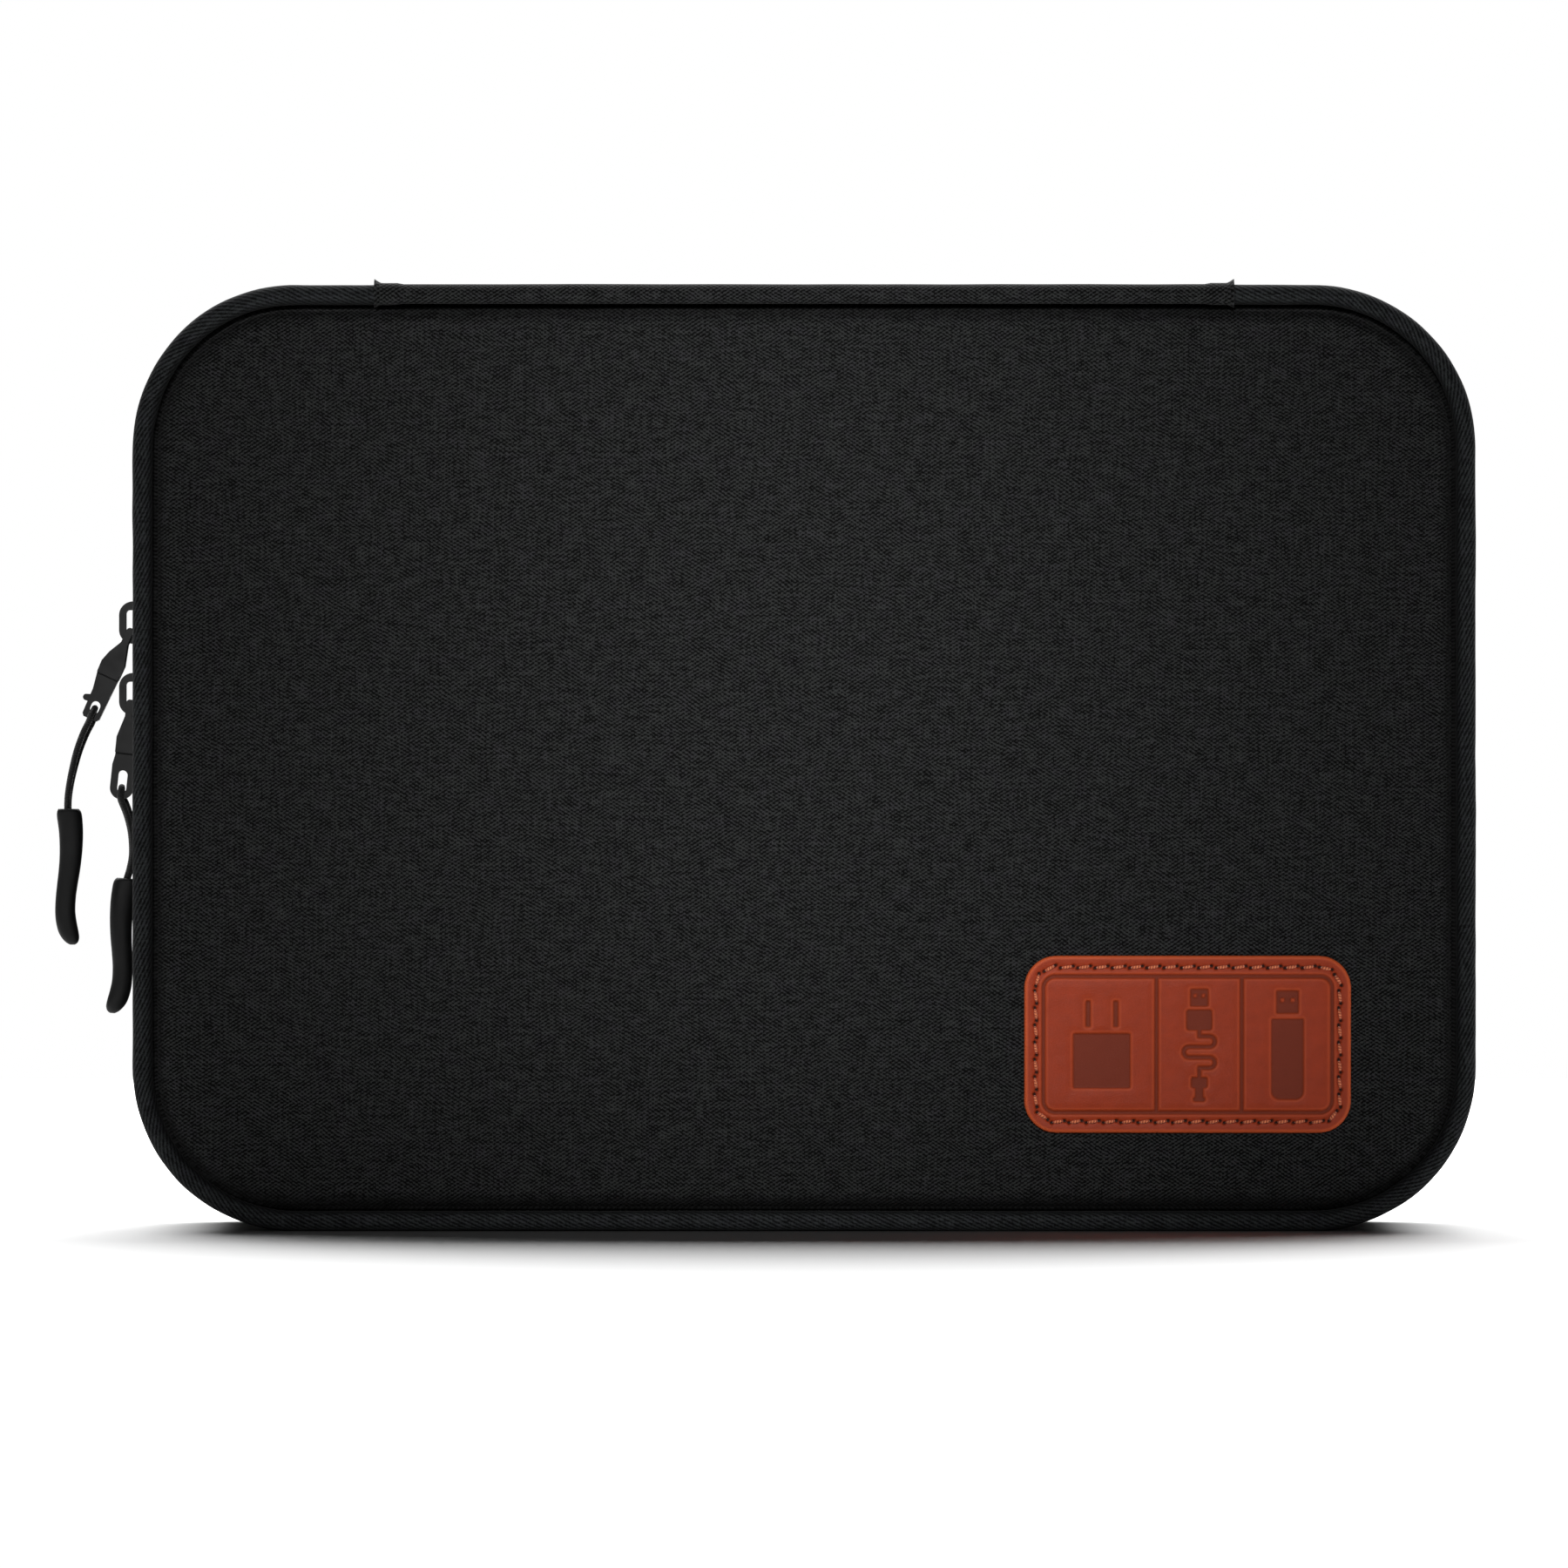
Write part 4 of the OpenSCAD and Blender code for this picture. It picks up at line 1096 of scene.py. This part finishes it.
def inner_binding(name, side, body, node):
    """Binding tape folded over the raw edges in the corner between lining and gusset."""
    low, wide, thick = 1.95, 3.6, 0.7
    profile = np.array([
        (0, 0), (2, -0.03), (wide, -0.06), (wide + 0.15, -0.4), (wide - 0.05, -thick),
        (2.2, -thick - 0.12), (thick + 0.7, -thick - 0.25), (thick + 0.2, -thick - 0.8),
        (thick + 0.05, -2.4), (thick, 0.1 - wide), (0.35, -wide - 0.1), (0, 0.1 - wide),
    ]) + [low, LINING_DEPTH]

    def uneven(inset, depth, along, edge):
        ripple = 0.1 * wave(along, 9, 6.1 + side)[:, None]
        return inset + ripple * smooth(low + 0.2, low + 1.2, inset), depth

    made = ring_solid(name, side, SPINE_HALF, profile, 2.0, uneven)
    dress(made, "binding", body, [node])


def flat_strip(low_x, high_x, low_z, high_z, near, far):
    """A soft-edged strip along x between two depths, on the inside of the front."""
    step = 2.0
    r = min(0.3, (far - near) / 2)
    outline = [(low_z + r, near), (high_z - r, near), (high_z, near + r), (high_z, far - r),
               (high_z - r, far), (low_z + r, far), (low_z, far - r), (low_z, near + r)]
    xs = np.linspace(low_x, high_x, round((high_x - low_x) / step))
    rings = np.array([[(x, -d, z) for z, d in outline] for x in xs])
    return loft("strip", rings, np.stack([rings[:, :, 0], rings[:, :, 2], rings[:, :, 0] * 0], -1))


def pocket_net():
    """The mesh pocket: a knitted net of six-sided openings stretched over the front lining.

    Its flat area is that of its strands alone, three to each opening.
    """
    low, high = span("mesh_pocket")
    middle = (low + high) / 2
    half_w, _, half_h = (high - low) / 2
    slot_low, slot_high = span("mesh_zip_tape")
    pitch, border, strand, dimple, lap = 2.6, 1.2, 0.5, 0.35, 0.4
    row_h = pitch * math.sqrt(3) / 2
    side = pitch / math.sqrt(3)
    corners = [(side * math.cos(a), side * math.sin(a)) for a in np.radians(np.arange(30, 390, 60))]
    numbers, faces = {}, []
    for r in range(int(2 * half_h / row_h) + 1):
        for c in range(int(2 * half_w / pitch) + 1):
            x = low[0] + (c + r % 2 / 2) * pitch
            z = low[2] + r * row_h
            outside = rounded_distance(x - middle[0], z - middle[2], half_w, half_h, CORNER - 15)
            in_slot = abs(x) < slot_high[0] + 0.5 and slot_low[2] + lap < z < slot_high[2] - lap
            if outside > -border or in_slot:
                continue
            keys = [(round(x + dx, 2), round(z + dz, 2)) for dx, dz in corners]
            faces.append([numbers.setdefault(key, len(numbers)) for key in keys])
    x, z = np.array(list(numbers)).T
    y = middle[1] + dimple * np.sin(x * 0.06 + 1) * np.sin(z * 0.05 + 0.4)
    cloth = np.stack([x, z, 0 * x], -1)
    made = make_mesh("mesh_pocket_net", np.stack([x, y, z], -1), faces, {"cloth": cloth}, closed=False)
    wires = made.modifiers.new("wires", "WIREFRAME")
    wires.thickness = strand * MM
    wires.use_boundary = True
    wires.use_even_offset = False
    dress(made, "mesh", "front_cover", ["mesh_pocket"])


def pocket_binding():
    """Binding round the mesh pocket, a rounded band sewn to the lining."""
    low, high = span("mesh_pocket_binding")
    middle, half = (low + high) / 2, (high - low) / 2
    corner = CORNER - 14
    far, near = -low[1], -high[1]
    profile = np.array([(0.1, far), (3.8, far), (4.1, far - 0.5), (4.0, near + 0.7), (3.4, near + 0.15),
                        (2.0, near - 0.05), (0.6, near + 0.15), (0.05, near + 0.7), (-0.05, far - 0.5)])
    centres, normals = corner_walk(half[0] - corner, half[2] - corner, 14)
    along = length_along(centres + normals * corner)
    inset, depth = (np.repeat(profile[None, :, k], len(along), 0) for k in range(2))
    rings = place(centres + middle[[0, 2]], normals, inset, depth, -1, corner)
    made = loft("pocket_binding", rings, cloth_map(along, length_along(profile)), closed_rows=True)
    dress(made, "binding", "front_cover", ["mesh_pocket_binding"])


def pocket_zip():
    """Tapes and coils of the mesh pocket's zip."""
    low, high = span("mesh_zip_tape")
    middle = (low[2] + high[2]) / 2
    near, far = -high[1], -low[1]
    pitch, turn_points, wire_r = 1.1, 9, 0.24
    half_wide, half_deep = 1.0, 0.62
    tapes, coils = [], []
    for side in (-1, 1):
        low_z, high_z = sorted((middle + side * 1.4, middle + side * (high[2] - middle)))
        tapes.append(flat_strip(low[0], high[0], low_z, high_z, near, far))
        xs = np.arange(low[0] + 1, high[0] - 1, pitch / turn_points)
        phase = 2 * math.pi * xs / pitch + (math.pi if side > 0 else 0)
        z = middle + side * (half_wide + 0.05 + half_wide * np.cos(phase))
        y = -((near + far) / 2 + half_deep * np.sin(phase))
        coils.append(loft("coil", tube_rings(np.stack([xs, y, z], -1), wire_r, 6)))
    dress(join("mesh_zip_tapes", tapes), "tape", "front_cover", ["mesh_zip_tape"])
    dress(join("mesh_zip_coils", coils), "coil", "front_cover", ["mesh_zip_teeth"])


def elastic_loops(name, node, count, pitch):
    """One ribbed elastic band, sewn down between loops that stand off the lining."""
    low, high = span(node)
    foot, thick, rim_r = 6.0, 1.0, 0.35
    rise = high[1] - low[1] - thick
    wide = pitch - foot
    start = -count * pitch / 2 - foot / 2
    climb = [(-0.6, 0.0), (0.5, 0.35), (1.0, rise * 0.5), (2.0, rise * 0.88), (4.5, rise)]
    line = [(low[0] + 0.1, 0.0)]
    for left in start + foot + pitch * np.arange(count):
        line += [(left + x, h) for x, h in climb]
        line.append((left + wide / 2, rise))
        line += [(left + wide - x, h) for x, h in reversed(climb)]
    line.append((high[0] - 0.1, 0.0))
    path = smooth_path(line, 0.8)
    path[:, 1] = np.clip(path[:, 1], 0, rise)
    way = np.gradient(path, axis=0)
    way /= np.linalg.norm(way, axis=1)[:, None]
    half_t = thick / 2 * np.array([0.5, 1, 1, 1, 0.5])
    half_t = np.concatenate([half_t, -half_t])
    z = np.array([low[2], low[2] + rim_r, (low[2] + high[2]) / 2, high[2] - rim_r, high[2]])
    z = np.concatenate([z, z[::-1]])
    x = path[:, :1] - way[:, 1:] * half_t
    height = path[:, 1:] + way[:, :1] * half_t
    rings = np.stack([x, LINING_DEPTH - thick / 2 - height, np.broadcast_to(z, x.shape)], -1)
    dress(loft(name, rings, cloth_map(length_along(path), z)), "elastic", "back_half", [node])
    seams = []
    half_apart, stitch, stitch_pitch = 1.6, 1.8, 2.4
    depth = LINING_DEPTH - thick - 0.12 * arch(4)
    for middle in start + foot / 2 + pitch * np.arange(count + 1):
        for row in (middle - half_apart, middle + half_apart):
            for base in np.arange(low[2] + 1.2, high[2] - 1.5, stitch_pitch):
                upright = np.linspace(base, base + stitch, 4)
                seams.append(np.stack([np.full(4, row), depth, upright], -1))
    dress(stitch_row(name + "_seams", seams, 0.2, 5), "black_thread", "back_half")


def slip_pocket():
    """The open-topped pocket inside the back: one sheet that bellies out between its seams."""
    low, high = span("slip_pocket")
    hem_low, hem_high = span("slip_pocket_hem")
    half = high[0]
    rise = high[1] - low[1] - 0.8
    lift, sheet_t, hem_t = 0.1, 0.7, 0.65
    xs = np.linspace(-half, half, 121)

    def bay(x):
        return 1 - (np.abs(np.abs(x) - half / 2) / (half / 2)) ** 6

    def outside(x, z):
        belly = bay(x) * smooth(low[2], low[2] + 7, z)
        return LINING_DEPTH - lift - (rise + 0.12 * noise_field(x, z, 9, 12.5)) * belly

    x, z = np.meshgrid(xs, np.linspace(low[2], high[2], 28))
    made = slab("slip_pocket_sheet", 1, x, z, outside(x, z), outside(x, z) - sheet_t)
    dress(made, "lining", "back_half", ["slip_pocket"])
    x, z = np.meshgrid(xs, np.linspace(hem_low[2], hem_high[2] + 0.4, 12))
    top = outside(x, z) - sheet_t - 0.05
    hem = slab("slip_pocket_hem_band", 1, x, z, top, top - hem_t)
    dress(hem, "binding", "back_half", ["slip_pocket_hem"])
    seams = []
    stitch, stitch_pitch, under = 2.1, 2.8, 1.42
    for row in (hem_low[2] + 1.2, hem_high[2] - 0.8):
        for left in np.arange(-half + 2, half - 3, stitch_pitch):
            at = np.linspace(left, left + stitch, 4)
            depth = LINING_DEPTH - lift - rise * bay(at) - under - 0.12 * arch(4)
            seams.append(np.stack([at, depth, np.full(4, row)], -1))
    dress(stitch_row("slip_pocket_seams", seams, 0.2, 5), "black_thread", "back_half")


# ---------------------------------------------------------------- hardware kept from the CAD

def soften(node, width):
    """Rounds a CAD part's edges without touching its mesh."""
    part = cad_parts[node]
    part.data.materials.clear()
    part.data.materials.append(finishes["metal"])
    weld = part.modifiers.new("weld", "WELD")
    weld.merge_threshold = 0.002 * MM
    bevel = part.modifiers.new("bevel", "BEVEL")
    bevel.width = width * MM
    bevel.segments = 2
    bevel.limit_method = "ANGLE"
    bevel.angle_limit = math.radians(35)
    bevel.harden_normals = True


# ---------------------------------------------------------------- studio

def add_lamp(name, kind, position, aim, energy):
    """A lamp that points at a place. Both places are in metres."""
    lamp = bpy.data.objects.new(name, bpy.data.lights.new(name, kind))
    bpy.context.scene.collection.objects.link(lamp)
    lamp.location = position
    lamp.rotation_euler = (Vector(aim) - Vector(position)).to_track_quat("-Z", "Y").to_euler()
    lamp.data.energy = energy
    return lamp


def keep_off(lamp, thing):
    """Stops a lamp from lighting one object, as a flag does in a studio."""
    flagged = bpy.data.collections.new(lamp.name + "_flagged")
    flagged.objects.link(thing)
    flagged.collection_objects[0].light_linking.link_state = "EXCLUDE"
    lamp.light_linking.receiver_collection = flagged


def studio():
    """White paper under a broad soft light from above and behind, and a soft-edged key in front.

    The key doesn't light the paper. The room is white to the camera and dim to the pouch.
    """
    half_wide, front, back = 1000, -760, 800
    corners = [(-half_wide, front, 0), (half_wide, front, 0), (half_wide, back, 0), (-half_wide, back, 0)]
    floor = make_mesh("floor", corners, [(0, 1, 2, 3)], closed=False)
    paper = Finish("white_paper", {"Roughness": 0.9, "Specular IOR Level": 0.1})
    spot = paper.noise(paper.node("TexCoord").outputs["Object"], 3.0)
    floor.data.materials.append(paper.finish(paper.mix(spot, grey(0.90), grey(0.93))))
    world = bpy.data.worlds.new("studio")
    bpy.context.scene.world = world
    world.use_nodes = True
    tree = world.node_tree
    background = tree.nodes["Background"]
    background.inputs[0].default_value = (1, 1, 1, 1)
    seen = tree.nodes.new("ShaderNodeLightPath")
    strength = tree.nodes.new("ShaderNodeMapRange")
    strength.inputs["To Min"].default_value = 0.02
    strength.inputs["To Max"].default_value = 1.0
    tree.links.new(seen.outputs["Is Camera Ray"], strength.inputs["Value"])
    tree.links.new(strength.outputs["Result"], background.inputs[1])
    overhead = add_lamp("overhead", "AREA", (0, 0.9, 1.25), (0, 0.15, 0), 92)
    overhead.data.shape = "RECTANGLE"
    overhead.data.size, overhead.data.size_y = 2.4, 1.5
    key = add_lamp("key", "SPOT", (-0.1, -1.15, 0.45), (0, 0, 0.095), 76)
    key.scale = (1, 2.2, 1)
    key.data.spot_size = math.radians(10.8)
    key.data.spot_blend = 1.0
    key.data.shadow_soft_size = 0.1
    keep_off(key, floor)
    bpy.context.scene.view_settings.view_transform = "Standard"


# ---------------------------------------------------------------- build

add_camera()
pull_cord("upper_cord_loop", UPPER_PULL, "upper_pull_grip")
pull_cord("lower_cord_loop", LOWER_PULL, "lower_pull_grip")
pull_grip("upper_grip_moulded", UPPER_PULL, "upper_pull_grip")
pull_grip("lower_grip_moulded", LOWER_PULL, "lower_pull_grip")

HALVES = {-1: ("front", "front_cover"), 1: ("back", "back_half")}
covers = {side: Cover(seed=2.7 + side) for side in HALVES}
for half_side, (word, carrier) in HALVES.items():
    cover_panel(word + "_panel", half_side, covers[half_side], carrier,
                [word + "_cover_fabric", word + "_foam"])
    piping(word + "_piping", half_side, carrier, [word + "_piping_tape", word + "_piping_cord"])
    gusset(word + "_gusset_band", half_side, carrier, [word + "_gusset"])
    zip_tape(word + "_zip_tape_band", half_side, carrier, [word + "_zip_tape"])
    zip_coil(word + "_zip_coil", half_side, carrier, [word + "_zip_teeth"])
    gusset_stitching(word + "_gusset_stitches", half_side, carrier)
    lining(word + "_lining_sheet", half_side, carrier, word + "_lining")
    inner_binding(word + "_binding_tape", half_side, carrier, word + "_binding")

spine_cover()
spine_lining()
leather_patch(covers[-1])
patch_stitching(covers[-1])
pocket_net()
pocket_binding()
pocket_zip()
elastic_loops("upper_elastic_loops", "upper_cable_loops", count=7, pitch=26)
elastic_loops("lower_elastic_loops", "lower_cable_loops", count=5, pitch=36)
slip_pocket()
for part_name in ("upper_slider", "lower_slider", "upper_pull_tab", "lower_pull_tab"):
    soften(part_name, width=0.28)
for part_name in ("mesh_slider", "mesh_pull_tab"):
    soften(part_name, width=0.15)
studio()
